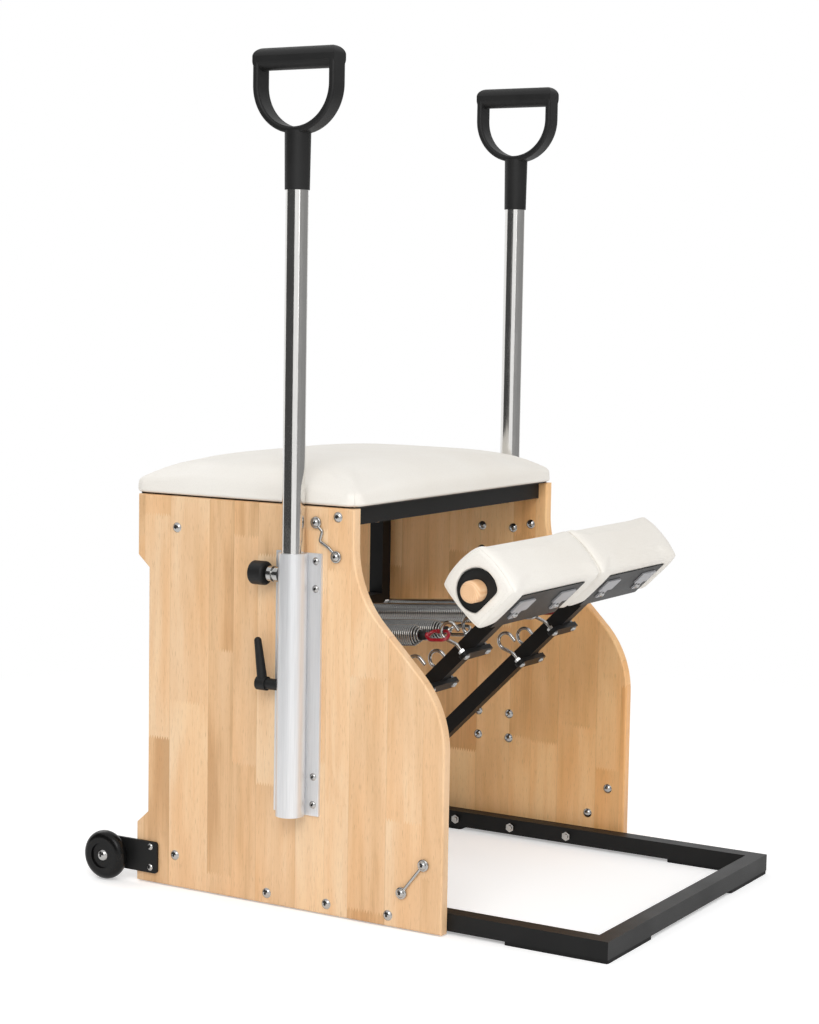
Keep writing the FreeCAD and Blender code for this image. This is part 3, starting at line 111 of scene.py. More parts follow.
# Layers of the wood's grain, as (scales along X, Y and Z, detail, distortion)
flame_grain = ((15.0, 15.0, 2.4), 2.0, 0.9)
sway_grain = ((9.0, 9.0, 1.6), 2.0, 0.6)
figure_grain = ((55.0, 55.0, 3.4), 3.0, 0.5)
fibre_grain = ((420.0, 420.0, 9.0), 2.0, 0.0)
pore_grain = ((1100.0, 1100.0, 70.0), 1.0, 0.0)
flush_grain = ((11.0, 11.0, 2.6), 2.0, 0.8)
ring_turns = 48.0
ring_weight = 0.07
layer_weights = (1.3, 0.75, 0.4)
wood_stops = (
    (0.0, (0.62, 0.365, 0.175)),
    (0.3, (0.77, 0.490, 0.262)),
    (0.65, (0.84, 0.560, 0.325)),
    (1.0, (0.90, 0.655, 0.415)),
)
flush_tint = (1.02, 0.955, 0.875, 1.0)
right_panel_tint = (1.1, 0.97, 0.76, 1.0)
pore_colour = (0.36, 0.19, 0.08, 1.0)
glue_colour = (0.42, 0.24, 0.11, 1.0)

# Dowel: its heart lies off the middle, and its year rings are counted in radians for each metre
dowel_heart_shift = Vector((0.0, 0.004, -0.006))
dowel_sway_grain = ((6.0, 60.0, 60.0), 3.0, 0.0)
dowel_fibre_grain = ((12.0, 500.0, 500.0), 2.0, 0.0)
dowel_year_rate = 2600.0
dowel_sway_turns = 5.0
dowel_ring_share = 0.55
dowel_stops = ((0.1, (0.76, 0.44, 0.225)), (0.55, (0.84, 0.52, 0.29)), (0.9, (0.88, 0.60, 0.36)))
dowel_bump = 0.0001

# Leather: its colours, the painted shade in its creases, and the scales of its patches, pebbles and fine grain
leather_stops = ((0.3, (0.83, 0.79, 0.725)), (0.7, (0.86, 0.83, 0.775)))
# Colour of the painted shade in the creases between the pebbles
leather_painted_crease_shade = (0.62, 0.57, 0.50, 1.0)
leather_patch_scale = 7.0
leather_pebble_scale = 620.0
leather_fine_scale = 1500.0
leather_fine_weight = 0.5
leather_bump = 0.00022

# How far the colour and gloss of coats and metals vary; most of a noise lies in its middle range
noise_middle = (0.3, 0.7)
coat_patch_scale = 18.0
coat_tints = (0.86, 1.14)
coat_patch_share = 0.6
coat_gloss_spread = 0.06
metal_tints = (0.93, 1.05)
metal_smudge_scale = 25.0
metal_gloss_loss = 0.04
metal_gloss_gain = 0.05
metal_bump_strength = 0.6

# Cushion of the seat
seat_shoulder = 0.017
seat_corner_radius = 0.022
seat_draw_in = 0.004
seat_wall_swell = 0.0015
seat_swell = 0.004
seat_start_overhang = 0.002
seat_voxel = 0.005
seat_seam_radius = 0.0009
seat_seam_height = 0.023
seat_seam_steps = 13
seat_seam_taper_share = 0.75
seat_outline_steps = 240
seat_wall_levels = 6
seat_dome_levels = 40
seat_dome_power = 4
seat_ring_power = 0.6
seat_seam_probe = 4 * seat_corner_radius

# Pedal pads, measured with the pedal arm flat along -Y from the pivot
pedal_rest_angle = math.radians(44.7)
pad_reach = 0.590
pad_rise = 0.0136
pad_side = 0.0835
pad_corner_radius = 0.003
pad_side_swells = (0.0055, 0.004, 0.0005, 0.0025)
pad_end_draw_in = 0.003
pad_end_dome = 0.0012
pad_hole_radius = 0.0303
pad_hole_flat_drop = 0.0212
pad_hole_back_shift = 0.0045
pad_hole_drop = 0.0015
pad_lip_depth = 0.003
pad_lip_thickness = 0.0009
pad_swell = 0.0025
pad_voxel = 0.004
pad_side_steps = 28
pad_corner_steps = 8
pad_end_levels = 9
pad_length_steps = 120
pad_seam_steps = 480
pad_welt_radius = 0.0008
pad_welt_inset_share = 0.4
pad_stitch_inset = 0.0055
stitch_length = 0.0034
stitch_gap = 0.0016
stitch_radius = 0.00032
stitch_sides = 6
trim_sides = 8

# Bent bracket under a pad, measured from the pad's own axis
bracket_reach = 0.0403
bracket_front = 0.027
bracket_top = 0.005

# Cloth simulation that swells the soft pieces
cloth_frames = 20
cloth_pressure = 4.0
smooth_rounds = 3
smooth_share = 0.5

# Micrometres in a metre; points of a solid's mesh that agree to a micrometre are one corner
weld_scale = 1e6

# Springs and their snap hooks
wire_radius = 0.0015
coil_pitch = 0.0034
coil_steps = 20
coil_sides = 8
taper_turns = 3
taper_radius = 0.0075
ferrule_radius = 0.0062
ferrule_length = 0.010
hook_turn = math.radians(40.0)
hook_rod_radius = 0.0025
hook_straight = 0.016
gate_radius = 0.0034
gate_length = 0.0115
swivel_radius = 0.0046
hook_bend_steps = 16
tube_sides = 14
lathe_sides = 24

# Turned forms, as (share of the radius, share of the length)
ferrule_shares = ((1.0, 0.0), (1.0, 0.8), (0.7, 1.0))
ferrule_root_share = 0.8
gate_shares = ((1.0, 0.08), (1.0, 0.8), (0.9, 0.84), (1.0, 0.88), (1.0, 0.94))
swivel_shares = ((0.6, 0.0), (1.0, 0.12), (1.0, 0.45), (0.82, 0.5), (0.82, 1.0))

# Dark caps on the bolt heads, painted shade for their sockets, and the clamp levers' end screws
socket_shade_radius = 0.0019
socket_shade_proud = 0.00005
socket_shade_depth = 0.0004
socket_shade_sides = 6
lever_screw_radius = 0.0042
lever_screw_height = 0.0012


class Finish:
    """A material whose nodes are added one by one in front of its own shader."""

    def __init__(self, name, **settings):
        self.material = bpy.data.materials.new(name)
        self.material.use_nodes = True
        self.tree = self.material.node_tree
        self.shader = self.tree.nodes["Principled BSDF"]
        for socket, value in settings.items():
            self.shader.inputs[socket.replace("_", " ")].default_value = value

    def join(self, value, socket):
        """Feeds a socket from a node, or sets it to a plain value."""
        if isinstance(value, bpy.types.NodeSocket):
            self.tree.links.new(value, socket)
        else:
            socket.default_value = value

    def feed(self, socket, value):
        self.join(value, self.shader.inputs[socket])

    def add(self, kind, inputs, **settings):
        node = self.tree.nodes.new(kind)
        for name, value in settings.items():
            setattr(node, name, value)
        for name, value in inputs.items():
            self.join(value, node.inputs[name])
        return node

    def math(self, operation, *values):
        node = self.add("ShaderNodeMath", {}, operation=operation)
        for socket, value in zip(node.inputs, values):
            self.join(value, socket)
        return node.outputs[0]

    def place(self):
        """The point on the piece, in the part's frame."""
        return self.add("ShaderNodeTexCoord", {}).outputs["Object"]

    def split(self, vector):
        return self.add("ShaderNodeSeparateXYZ", {"Vector": vector}).outputs

    def combine(self, x, y, z):
        return self.add("ShaderNodeCombineXYZ", {"X": x, "Y": y, "Z": z}).outputs[0]

    def scaled(self, vector, scales):
        node = self.add("ShaderNodeVectorMath", {}, operation="MULTIPLY")
        self.join(vector, node.inputs[0])
        self.join(scales, node.inputs[1])
        return node.outputs[0]

    def shifted(self, vector, shift):
        node = self.add("ShaderNodeVectorMath", {}, operation="ADD")
        self.join(vector, node.inputs[0])
        self.join(shift, node.inputs[1])
        return node.outputs[0]

    def noise(self, vector, scale, detail=2.0, distortion=0.0):
        inputs = {"Vector": vector, "Scale": scale, "Detail": detail, "Distortion": distortion}
        return self.add("ShaderNodeTexNoise", inputs).outputs["Fac"]

    def grain(self, vector, scales, detail, distortion):
        """Noise stretched by a scale of its own along each axis."""
        return self.noise(self.scaled(vector, scales), 1.0, detail, distortion)

    def cells(self, vector, scale):
        inputs = {"Vector": vector, "Scale": scale}
        return self.add("ShaderNodeTexVoronoi", inputs).outputs["Distance"]

    def chance(self, vector):
        """A number from 0 to 1 that belongs to one point and no other."""
        return self.add("ShaderNodeTexWhiteNoise", {"Vector": vector}).outputs["Value"]

    def ramp(self, value, *stops):
        node = self.add("ShaderNodeValToRGB", {"Fac": value})
        elements = node.color_ramp.elements
        while len(elements) < len(stops):
            elements.new(1.0)
        for element, (position, colour) in zip(elements, stops):
            element.position = position
            element.color = (*colour, 1.0)
        return node.outputs["Color"]

    def levels(self, value, low, high, to_low, to_high):
        inputs = {"Value": value, "From Min": low, "From Max": high, "To Min": to_low, "To Max": to_high}
        return self.add("ShaderNodeMapRange", inputs).outputs["Result"]

    def length(self, first, second):
        """The distance that two steps at right angles make."""
        squares = [self.math("MULTIPLY", step, step) for step in (first, second)]
        return self.math("SQRT", self.math("ADD", *squares))

    def weighted(self, value, layer, weight):
        """A value and a weighted layer on top of it."""
        return self.math("ADD", value, self.math("MULTIPLY", layer, weight))

    def mix(self, share, first, second, blend="MIX"):
        node = self.add("ShaderNodeMix", {}, data_type="RGBA", blend_type=blend)
        colours = [socket for socket in node.inputs if socket.type == "RGBA"]
        self.join(share, node.inputs[0])
        self.join(first, colours[0])
        self.join(second, colours[1])
        return [socket for socket in node.outputs if socket.type == "RGBA"][0]

    def bump(self, height, distance, strength=1.0):
        inputs = {"Height": height, "Distance": distance, "Strength": strength}
        self.feed("Normal", self.add("ShaderNodeBump", inputs).outputs["Normal"])


def grey(level):
    return (level, level, level)


def shades(colour, tints):
    """Two stops for a ramp over a noise: a darker and a lighter tint of one colour."""
    return [(stop, tuple(channel * tint for channel in colour)) for stop, tint in zip(noise_middle, tints)]


def coated(name, colour, roughness, grain, depth, **settings):
    """A painted or moulded finish: fine texture, and colour and gloss that vary a little."""
    finish = Finish(name, **settings)
    place = finish.place()
    patches = finish.noise(place, coat_patch_scale, 3.0)
    finish.feed("Base Color", finish.ramp(patches, *shades(colour, coat_tints)))
    fine = finish.noise(place, grain)
    wear = finish.weighted(finish.math("MULTIPLY", patches, coat_patch_share), fine, 1 - coat_patch_share)
    dullest = roughness + coat_gloss_spread
    finish.feed("Roughness", finish.levels(wear, *noise_middle, roughness - coat_gloss_spread, dullest))
    finish.bump(fine, depth)
    return finish.material


def metal(name, colour, roughness, streaks, depth, **settings):
    """Bare metal with fine tool marks; streaks are the marks' scales along X, Y and Z."""
    finish = Finish(name, **{"Metallic": 1.0, **settings})
    place = finish.place()
    marks = finish.grain(place, streaks, 3.0, 0.0)
    finish.feed("Base Color", finish.ramp(marks, *shades(colour, metal_tints)))
    smudge = finish.noise(place, metal_smudge_scale, 3.0)
    dullest = roughness + metal_gloss_gain
    finish.feed("Roughness", finish.levels(smudge, *noise_middle, roughness - metal_gloss_loss, dullest))
    finish.bump(marks, depth, metal_bump_strength)
    return finish.material


def wood_panel():
    """Satin lacquer over upright staves, each glued up from blocks of its own tone."""
    finish = Finish("wood_panel", Coat_Weight=0.2, Coat_Roughness=0.3, Specular_IOR_Level=0.4)
    place = finish.place()
    x, y, z = finish.split(place)
    side = finish.math("SIGN", x)
    turn = finish.math("MULTIPLY", y, math.tau / stave_wander_length)
    wander = finish.math("MULTIPLY", finish.math("SINE", turn), stave_wander_share)
    across = finish.math("ADD", finish.math("DIVIDE", y, stave_width), wander)
    across = finish.weighted(across, side, stave_side_shift_share)
    stave = finish.math("FLOOR", across)
    within = finish.math("FRACT", across)
    stagger = finish.chance(finish.combine(stave, side, 0.0))
    zigzag = finish.math("PINGPONG", y, finger_pitch / 2)
    finger = finish.math("MULTIPLY", zigzag, 2 * finger_depth / finger_pitch)
    along = finish.math("DIVIDE", finish.math("ADD", z, finger), block_length)
    along = finish.weighted(along, stagger, stagger_blocks)
    block = finish.math("FLOOR", along)
    block_point = finish.combine(stave, block, side)
    value = finish.levels(finish.chance(block_point), 0.0, 1.0, *block_tones)

    own_grain = finish.shifted(place, finish.scaled(block_point, block_grain_shifts))
    flame = finish.grain(own_grain, *flame_grain)
    sway = finish.grain(own_grain, *sway_grain)
    figure = finish.grain(own_grain, *figure_grain)
    rings = finish.math("SINE", finish.math("MULTIPLY", sway, ring_turns))
    fibre = finish.grain(own_grain, *fibre_grain)
    pores = finish.grain(own_grain, *pore_grain)
    for layer, weight in zip((flame, figure, fibre), layer_weights):
        value = finish.weighted(value, finish.math("SUBTRACT", layer, 0.5), weight)
    value = finish.weighted(value, rings, ring_weight)
    colour = finish.ramp(value, *wood_stops)
    flush = finish.levels(finish.grain(own_grain, *flush_grain), 0.42, 0.66, 0.0, 1.0)
    colour = finish.mix(flush, colour, flush_tint, "MULTIPLY")
    redder = finish.levels(side, -1.0, 1.0, 0.0, 1.0)
    colour = finish.mix(redder, colour, right_panel_tint, "MULTIPLY")
    speck = finish.levels(pores, 0.60, 0.72, 0.0, 0.32)
    colour = finish.mix(speck, colour, pore_colour)
    edge = finish.math("ABSOLUTE", finish.math("SUBTRACT", within, 0.5))
    glue = finish.levels(edge, 0.5 - glue_line_share, 0.5, 0.0, 0.30)
    colour = finish.mix(glue, colour, glue_colour)
    finish.feed("Base Color", colour)
    finish.feed("Roughness", finish.levels(fibre, *noise_middle, 0.36, 0.46))
    finish.bump(finish.math("SUBTRACT", fibre, finish.math("MULTIPLY", speck, 1.5)), lacquer_bump, 0.5)
    return finish.material


def dowel_wood():
    """Pale turned wood with its grain along X and its year rings on the ends."""
    finish = Finish("dowel_wood", Coat_Weight=0.15, Coat_Roughness=0.35)
    place = finish.place()
    low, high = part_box("pedal_dowel")
    heart = (low + high) / 2 + dowel_heart_shift
    own = finish.shifted(place, tuple(-heart))
    _, y, z = finish.split(own)
    sway = finish.grain(own, *dowel_sway_grain)
    turns = finish.math("MULTIPLY", finish.length(y, z), dowel_year_rate)
    year = finish.weighted(turns, sway, dowel_sway_turns)
    rings = finish.levels(finish.math("SINE", year), -1.0, 1.0, 0.0, 1.0)
    fibre = finish.grain(own, *dowel_fibre_grain)
    value = finish.weighted(finish.math("MULTIPLY", rings, dowel_ring_share), fibre, 1 - dowel_ring_share)
    finish.feed("Base Color", finish.ramp(value, *dowel_stops))
    finish.feed("Roughness", finish.levels(fibre, *noise_middle, 0.42, 0.52))
    finish.bump(fibre, dowel_bump, 0.5)
    return finish.material


def leather():
    """Soft cream upholstery: pebbled grain, with a warmer tone in broad patches and painted shade in the creases
    between the pebbles.
    """
    finish = Finish("leather", Coat_Weight=0.06, Coat_Roughness=0.35, Specular_IOR_Level=0.4)
    place = finish.place()
    patches = finish.noise(place, leather_patch_scale, 3.0)
    pebble = finish.cells(place, leather_pebble_scale)
    fine = finish.noise(place, leather_fine_scale)
    grain = finish.weighted(pebble, fine, leather_fine_weight)
    shade = finish.ramp(patches, *leather_stops)
    # Painted shade: the leather is darker in the creases between the pebbles, where shade falls.
    painted_crease_shade = finish.levels(pebble, 0.45, 0.8, 0.0, 0.10)
    finish.feed("Base Color", finish.mix(painted_crease_shade, shade, leather_painted_crease_shade))
    finish.feed("Roughness", finish.levels(grain, 0.2, 0.9, 0.46, 0.58))
    finish.bump(grain, leather_bump, 0.45)
    return finish.material


def sleeve_aluminium():
    return metal(
        "sleeve_aluminium", (0.74, 0.745, 0.755),
        roughness=0.36, streaks=(900.0, 900.0, 14.0), depth=0.00004, Metallic=0.6,
    )


def pole_steel():
    return metal(
        "pole_steel", (0.77, 0.76, 0.74), roughness=0.13, streaks=(1200.0, 1200.0, 25.0), depth=0.00002
    )


def bright_steel():
    return metal(
        "bright_steel", (0.42, 0.415, 0.405), roughness=0.16, streaks=(500.0, 500.0, 500.0), depth=0.00003
    )


def spring_steel():
    return metal(
        "spring_steel", (0.33, 0.325, 0.315), roughness=0.16, streaks=(300.0, 300.0, 300.0), depth=0.00003
    )


def bush_bronze():
    return metal(
        "bush_bronze", (0.55, 0.36, 0.17), roughness=0.34, streaks=(400.0, 400.0, 400.0), depth=0.00004
    )


def black_steel():
    return coated(
        "black_steel", grey(0.012), roughness=0.44, grain=1500.0, depth=0.00006, Specular_IOR_Level=0.18
    )


def black_plastic():
    return coated(
        "black_plastic", grey(0.015), roughness=0.5, grain=1100.0, depth=0.00005, Specular_IOR_Level=0.22
    )


def grey_plastic():
    return coated("grey_plastic", (0.36, 0.36, 0.375), roughness=0.45, grain=1100.0, depth=0.00004)


def rubber():
    return coated("rubber", grey(0.009), roughness=0.7, grain=700.0, depth=0.0001, Specular_IOR_Level=0.2)


def wheel_black():
    return coated(
        "wheel_black", grey(0.005), roughness=0.22, grain=500.0, depth=0.00004, Specular_IOR_Level=0.2
    )


def snap_hook_red():
    return coated(
        "snap_hook_red", (0.33, 0.006, 0.018), roughness=0.28, grain=900.0, depth=0.00003, Coat_Weight=0.3
    )


def seat_board():
    return coated("seat_board", (0.035, 0.030, 0.026), roughness=0.6, grain=300.0, depth=0.0001)


finishes = {
    make.__name__: make()
    for make in (
        wood_panel, dowel_wood, leather, sleeve_aluminium, pole_steel, bright_steel, spring_steel,
        bush_bronze, black_steel, black_plastic, grey_plastic, rubber, wheel_black, snap_hook_red,
        seat_board,
    )
}
thread_finish = coated("thread", (0.80, 0.77, 0.71), roughness=0.6, grain=2500.0, depth=0.00003)


def dress_nodes():
    """Gives each solid of the frame the finish that its record names."""
    for subpart in frame["record"]["subparts"]:
        mesh = frame["nodes"][subpart["node"]].data
        mesh.materials.clear()
        mesh.materials.append(finishes[subpart["material_slot"]])


class Shape:
    """Points and faces that grow into one mesh."""

    def __init__(self):
        self.points = []
        self.faces = []

    def skin(self, rings, loop=False):
        """Quads across rings of equal count; where they make no loop, the end rings are closed."""
        first = len(self.points)
        count = len(rings[0])
        for ring in rings:
            self.points.extend(Vector(point) for point in ring)
        spans = len(rings) if loop else len(rings) - 1
        for span in range(spans):
            low = first + span * count
            high = first + (span + 1) % len(rings) * count
            for step in range(count):
                after = (step + 1) % count
                self.faces.append((low + step, low + after, high + after, high + step))
        if not loop:
            self.faces.append(tuple(range(first + count - 1, first - 1, -1)))
            last = first + (len(rings) - 1) * count
            self.faces.append(tuple(range(last, last + count)))

    def tube(self, path, radius, sides_round=tube_sides, loop=False):
        """A round rod along points; radius is one size or one for each point."""
        radii = radius if isinstance(radius, list) else [radius] * len(path)
        rings = []
        across = None
        for index, point in enumerate(path):
            before = path[index - 1] if index or loop else point
            after = path[(index + 1) % len(path)] if loop or index + 1 < len(path) else point
            ahead = (after - before).normalized()
            if across is None:
                across = ahead.orthogonal()
            across = (across - ahead * across.dot(ahead)).normalized()
            up = ahead.cross(across)
            rings.append(circle(point, across, up, radii[index], sides_round))
        self.skin(rings, loop)

    def turned(self, outline, place, direction, sides_round=lathe_sides):
        """A lathe form: outline holds (radius, height) pairs along direction from place."""
        direction = direction.normalized()
        across = direction.orthogonal().normalized()
        up = direction.cross(across)
        rings = [
            circle(place + direction * height, across, up, radius, sides_round)
            for radius, height in outline
        ]
        self.skin(rings)

    def object(self, name, finish):
        mesh = bpy.data.meshes.new(name)
        mesh.from_pydata(self.points, [], self.faces)
        mesh.materials.append(finish)
        mesh.polygons.foreach_set("use_smooth", [True] * len(mesh.polygons))
        made = bpy.data.objects.new(name, mesh)
        bpy.context.scene.collection.objects.link(made)
        return made


def circle(centre, across, up, radius, count):
    points = []
    for step in range(count):
        angle = math.tau * step / count
        points.append(centre + across * (radius * math.cos(angle)) + up * (radius * math.sin(angle)))
    return points


def profile(shares, radius, length):
    """The (radius, height) pairs of a turned form, from its shares."""
    return [(radius * across, length * along) for across, along in shares]


def settle(made, body, slot, *nodes):
    """Puts a finished piece on its body, in place of the nodes it stands for; the slot is not used."""
    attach(made, body)
    if nodes:
        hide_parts(*nodes)


def solids_in(node):
    """The points of each separate solid in a node of the frame."""
    mesh = frame["nodes"][node].data
    corner_of = {}
    owner = []
    for vertex in mesh.vertices:
        key = tuple(round(value * weld_scale) for value in vertex.co)
        owner.append(corner_of.setdefault(key, vertex.index))
    root = list(range(len(owner)))

    def find(index):
        while root[index] != index:
            root[index] = root[root[index]]
            index = root[index]
        return index

    for polygon in mesh.polygons:
        start = find(owner[polygon.vertices[0]])
        for index in polygon.vertices[1:]:
            root[find(owner[index])] = start
    groups = {}
    for vertex in mesh.vertices:
        groups.setdefault(find(owner[vertex.index]), []).append(vertex.co.copy())
    return list(groups.values())


def remesh(made, voxel):
    """Replaces the piece's faces by even ones, as wide as a voxel."""
    modifier = made.modifiers.new("voxels", "REMESH")
    modifier.mode = "VOXEL"
    modifier.voxel_size = voxel
    apply_shape(made)


def apply_shape(made):
    """Keeps the shape that the piece's modifiers give it, and drops them."""
    depsgraph = bpy.context.evaluated_depsgraph_get()
    mesh = bpy.data.meshes.new_from_object(made.evaluated_get(depsgraph))
    old = made.data
    made.modifiers.clear()
    made.data = mesh
    mesh.materials.clear()
    mesh.materials.append(old.materials[0])
    bpy.data.meshes.remove(old)


def relax(made, held):
    """Evens out the small steps of the voxels, away from the held points."""
    work = bmesh.new()
    work.from_mesh(made.data)
    free = [vertex for vertex in work.verts if not held(vertex.co)]
    axes = {"use_axis_x": True, "use_axis_y": True, "use_axis_z": True}
    for _ in range(smooth_rounds):
        bmesh.ops.smooth_vert(work, verts=free, factor=smooth_share, **axes)
    work.to_mesh(made.data)
    work.free()


def swell(made, held, limit):
    """Blows the piece up as stuffed cloth; no point moves further than the limit."""
    start = [vertex.co.copy() for vertex in made.data.vertices]
    pins = made.vertex_groups.new(name="pins")
    pins.add([vertex.index for vertex in made.data.vertices if held(vertex.co)], 1.0, "REPLACE")
    cloth = made.modifiers.new("stuffing", "CLOTH")
    cloth.settings.use_pressure = True
    cloth.settings.uniform_pressure_force = cloth_pressure
    cloth.settings.vertex_group_mass = pins.name
    cloth.settings.effector_weights.gravity = 0.0
    cloth.point_cache.frame_start = 1
    cloth.point_cache.frame_end = cloth_frames
    scene = bpy.context.scene
    for step in range(1, cloth_frames + 1):
        scene.frame_set(step)
    apply_shape(made)
    scene.frame_set(1)
    for vertex, place in zip(made.data.vertices, start):
        move = vertex.co - place
        if move.length > limit:
            vertex.co = place + move * (limit / move.length)
    made.vertex_groups.clear()


def soften(made, voxel, held, limit):
    remesh(made, voxel)
    swell(made, held, limit)
    relax(made, held)
    made.data.polygons.foreach_set("use_smooth", [True] * len(made.data.polygons))


def finer(made):
    """One subdivision, kept in the mesh."""
    made.modifiers.new("finer", "SUBSURF").levels = 1
    made.modifiers["finer"].render_levels = 1
    apply_shape(made)


def surface_of(made):
    return BVHTree.FromPolygons(
        [vertex.co.copy() for vertex in made.data.vertices],
        [tuple(polygon.vertices) for polygon in made.data.polygons],
    )


def rounded_rectangle(half_x, half_y, radius, count):
    """Evenly spaced points round a rectangle with round corners, about the origin."""
    flat_x = 2 * (half_x - radius)
    flat_y = 2 * (half_y - radius)
    arc = radius * math.pi / 2
    spans = [(flat_y, arc), (flat_x, arc), (flat_y, arc), (flat_x, arc)]
    whole = 2 * (flat_x + flat_y) + 4 * arc
    starts = [
        (Vector((half_x, -flat_y / 2)), 0),
        (Vector((flat_x / 2, half_y)), 1),
        (Vector((-half_x, flat_y / 2)), 2),
        (Vector((-flat_x / 2, -half_y)), 3),
    ]
    points = []
    for step in range(count):
        travel = whole * step / count
        corner = 0
        while travel > sum(spans[corner]):
            travel -= sum(spans[corner])
            corner += 1
        begin, turn = starts[corner]
        heading = math.pi / 2 * (turn + 1)
        ahead = Vector((math.cos(heading), math.sin(heading)))
        inward = Vector((-ahead.y, ahead.x))
        straight = spans[corner][0]
        if travel <= straight:
            points.append(begin + ahead * travel)
        else:
            angle = (travel - straight) / radius
            centre = begin + ahead * straight + inward * radius
            points.append(centre - inward * (radius * math.cos(angle)) + ahead * (radius * math.sin(angle)))
    return points


def seat_cushion():
    """The seat's domed cushion, stuffed, with a short upright seam at each corner."""
    low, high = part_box("seat_cushion")
    middle = (low + high) / 2
    overhang = seat_start_overhang
    half_x = (high.x - low.x) / 2 + overhang
    half_y = (high.y - low.y) / 2 + overhang
    crown = high.z - low.z - seat_shoulder
    sink = seat_swell
    outline = rounded_rectangle(half_x, half_y, seat_corner_radius, seat_outline_steps)

    def dome(point):
        share_x = max(0.0, 1 - abs(point.x / half_x) ** seat_dome_power)
        share_y = max(0.0, 1 - abs(point.y / half_y) ** seat_dome_power)
        return seat_shoulder + crown * math.sqrt(share_x * share_y)

    rings = []
    for level in range(seat_wall_levels):
        share = level / seat_wall_levels
        inset = seat_draw_in * (1 - share) ** 2
        bulge = seat_wall_swell * math.sin(math.pi * share)
        ring = []
        for point in outline:
            inward = 1 - (inset - bulge) / max(abs(point.x), abs(point.y), half_y)
            ring.append((point.x * inward, point.y * inward, dome(point) * share))
        rings.append(ring)
    for level in range(seat_dome_levels):
        share = (1 - level / seat_dome_levels) ** seat_ring_power
        ring = []
        for point in outline:
            inner = point * share
            ring.append((inner.x, inner.y, dome(inner) - sink * (1 - share ** seat_dome_power)))
        rings.append(ring)
    shape = Shape()
    shape.skin(rings)
    made = shape.object("seat_cushion_cover", finishes["leather"])
    base = Vector((middle.x, middle.y, low.z))
    made.data.transform(Matrix.Translation(base))

    def held(point):
        return point.z < low.z + seat_voxel

    soften(made, seat_voxel, held, seat_swell)
    finer(made)
    settle(made, "chassis", "leather", "seat_cushion")

    surface = surface_of(made)
    seams = Shape()
    inner_x = half_x - seat_corner_radius
    inner_y = half_y - seat_corner_radius
    for step_x in (-1, 1):
        for step_y in (-1, 1):
            outward = Vector((step_x, step_y, 0.0)).normalized()
            corner = base + Vector((step_x * inner_x, step_y * inner_y, 0.0))
            path = []
            for step in range(seat_seam_steps):
                height = seat_seam_height * (step + 0.5) / seat_seam_steps
                start = corner + outward * seat_seam_probe + Vector((0.0, 0.0, height))
                hit = surface.ray_cast(start, -outward)[0]
                if hit:
                    path.append(hit)
            count = len(path)
            tapers = [seat_seam_taper_share * (index / count) ** 3 for index in range(count)]
            seams.tube(path, [seat_seam_radius * (1 - taper) for taper in tapers], trim_sides)
    settle(seams.object("seat_corner_seams", finishes["leather"]), "chassis", "leather")


def pad_frame(side):
    """Carries points of the flat pedal, measured from its pivot, to where the pad rests."""
    swing = next(joint for joint in frame["joints"] if joint["name"] == side + "_pedal_swing")
    return Matrix.Translation(Vector(swing["pos_m"])) @ Matrix.Rotation(-pedal_rest_angle, 4, "X")


def pad_outline(inset):
    """Points round a pad about its own axis: a square with round corners and swollen sides."""
    half = pad_side / 2 - inset
    flat = half - pad_corner_radius
    points = []
    for quarter, rise in enumerate(pad_side_swells):
        turn = Matrix.Rotation(math.pi / 2 * quarter, 2)
        for step in range(pad_side_steps):
            share = 1 - 2 * step / pad_side_steps
            points.append(turn @ Vector((flat * share, half + rise * (1 - share * share))))
        for step in range(pad_corner_steps):
            angle = math.pi / 2 * step / pad_corner_steps
            across = flat + pad_corner_radius * math.sin(angle)
            points.append(turn @ Vector((-across, flat + pad_corner_radius * math.cos(angle))))
    return points


def pad_hole(shrink):
    """Points round the hole through a pad: a circle with one flat at its bottom."""
    count = 4 * (pad_side_steps + pad_corner_steps)
    points = []
    for step in range(count):
        angle = math.pi / 4 + math.tau * step / count
        y = (pad_hole_radius - shrink) * math.cos(angle)
        z = max((pad_hole_radius - shrink) * math.sin(angle), shrink - pad_hole_flat_drop)
        points.append(Vector((y + pad_hole_back_shift, z - pad_hole_drop)))
    return points


def section_at(x, points):
    return [Vector((x, *point)) for point in points]


def pad_rings(low_x, high_x):
    """The rings of a hollow pad: from the hole over one end, along the outside and over the other end."""
    hole = pad_hole(0.0)
    rim = pad_outline(pad_end_draw_in)
    faces = []
    for x, outward in ((low_x, -1), (high_x, 1)):
        face = []
        for level in range(pad_end_levels):
            share = level / pad_end_levels
            bulge = pad_end_dome * math.sin(math.pi * share)
            face.append(section_at(x + outward * bulge, [a.lerp(b, share) for a, b in zip(hole, rim)]))
        faces.append(face)
    body = []
    for step in range(pad_length_steps + 1):
        x = low_x + (high_x - low_x) * step / pad_length_steps
        near_end = min(x - low_x, high_x - x)
        round_off = max(0.0, 1 - near_end / (2 * pad_end_draw_in))
        body.append(section_at(x, pad_outline(pad_end_draw_in * round_off ** 2)))
    return faces[0] + body + faces[1][::-1]


def press_on_bracket(made, side):
    """Presses a pad's cover flat where it lies in its bent bracket; past the edges it may bulge."""
    low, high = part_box(side + "_pedal_bracket")
    middle = (low.x + high.x) / 2
    half = (high.x - low.x) / 2
    for vertex in made.data.vertices:
        x, y, z = vertex.co
        past_end = max(0.0, abs(x - middle) - half)
        past_front = max(0.0, -y - bracket_front)
        past_top = max(0.0, z - bracket_top)
        lowest = -bracket_reach - past_end - past_front
        rearmost = bracket_reach + past_end + past_top
        vertex.co = (x, min(y, rearmost), max(z, lowest))


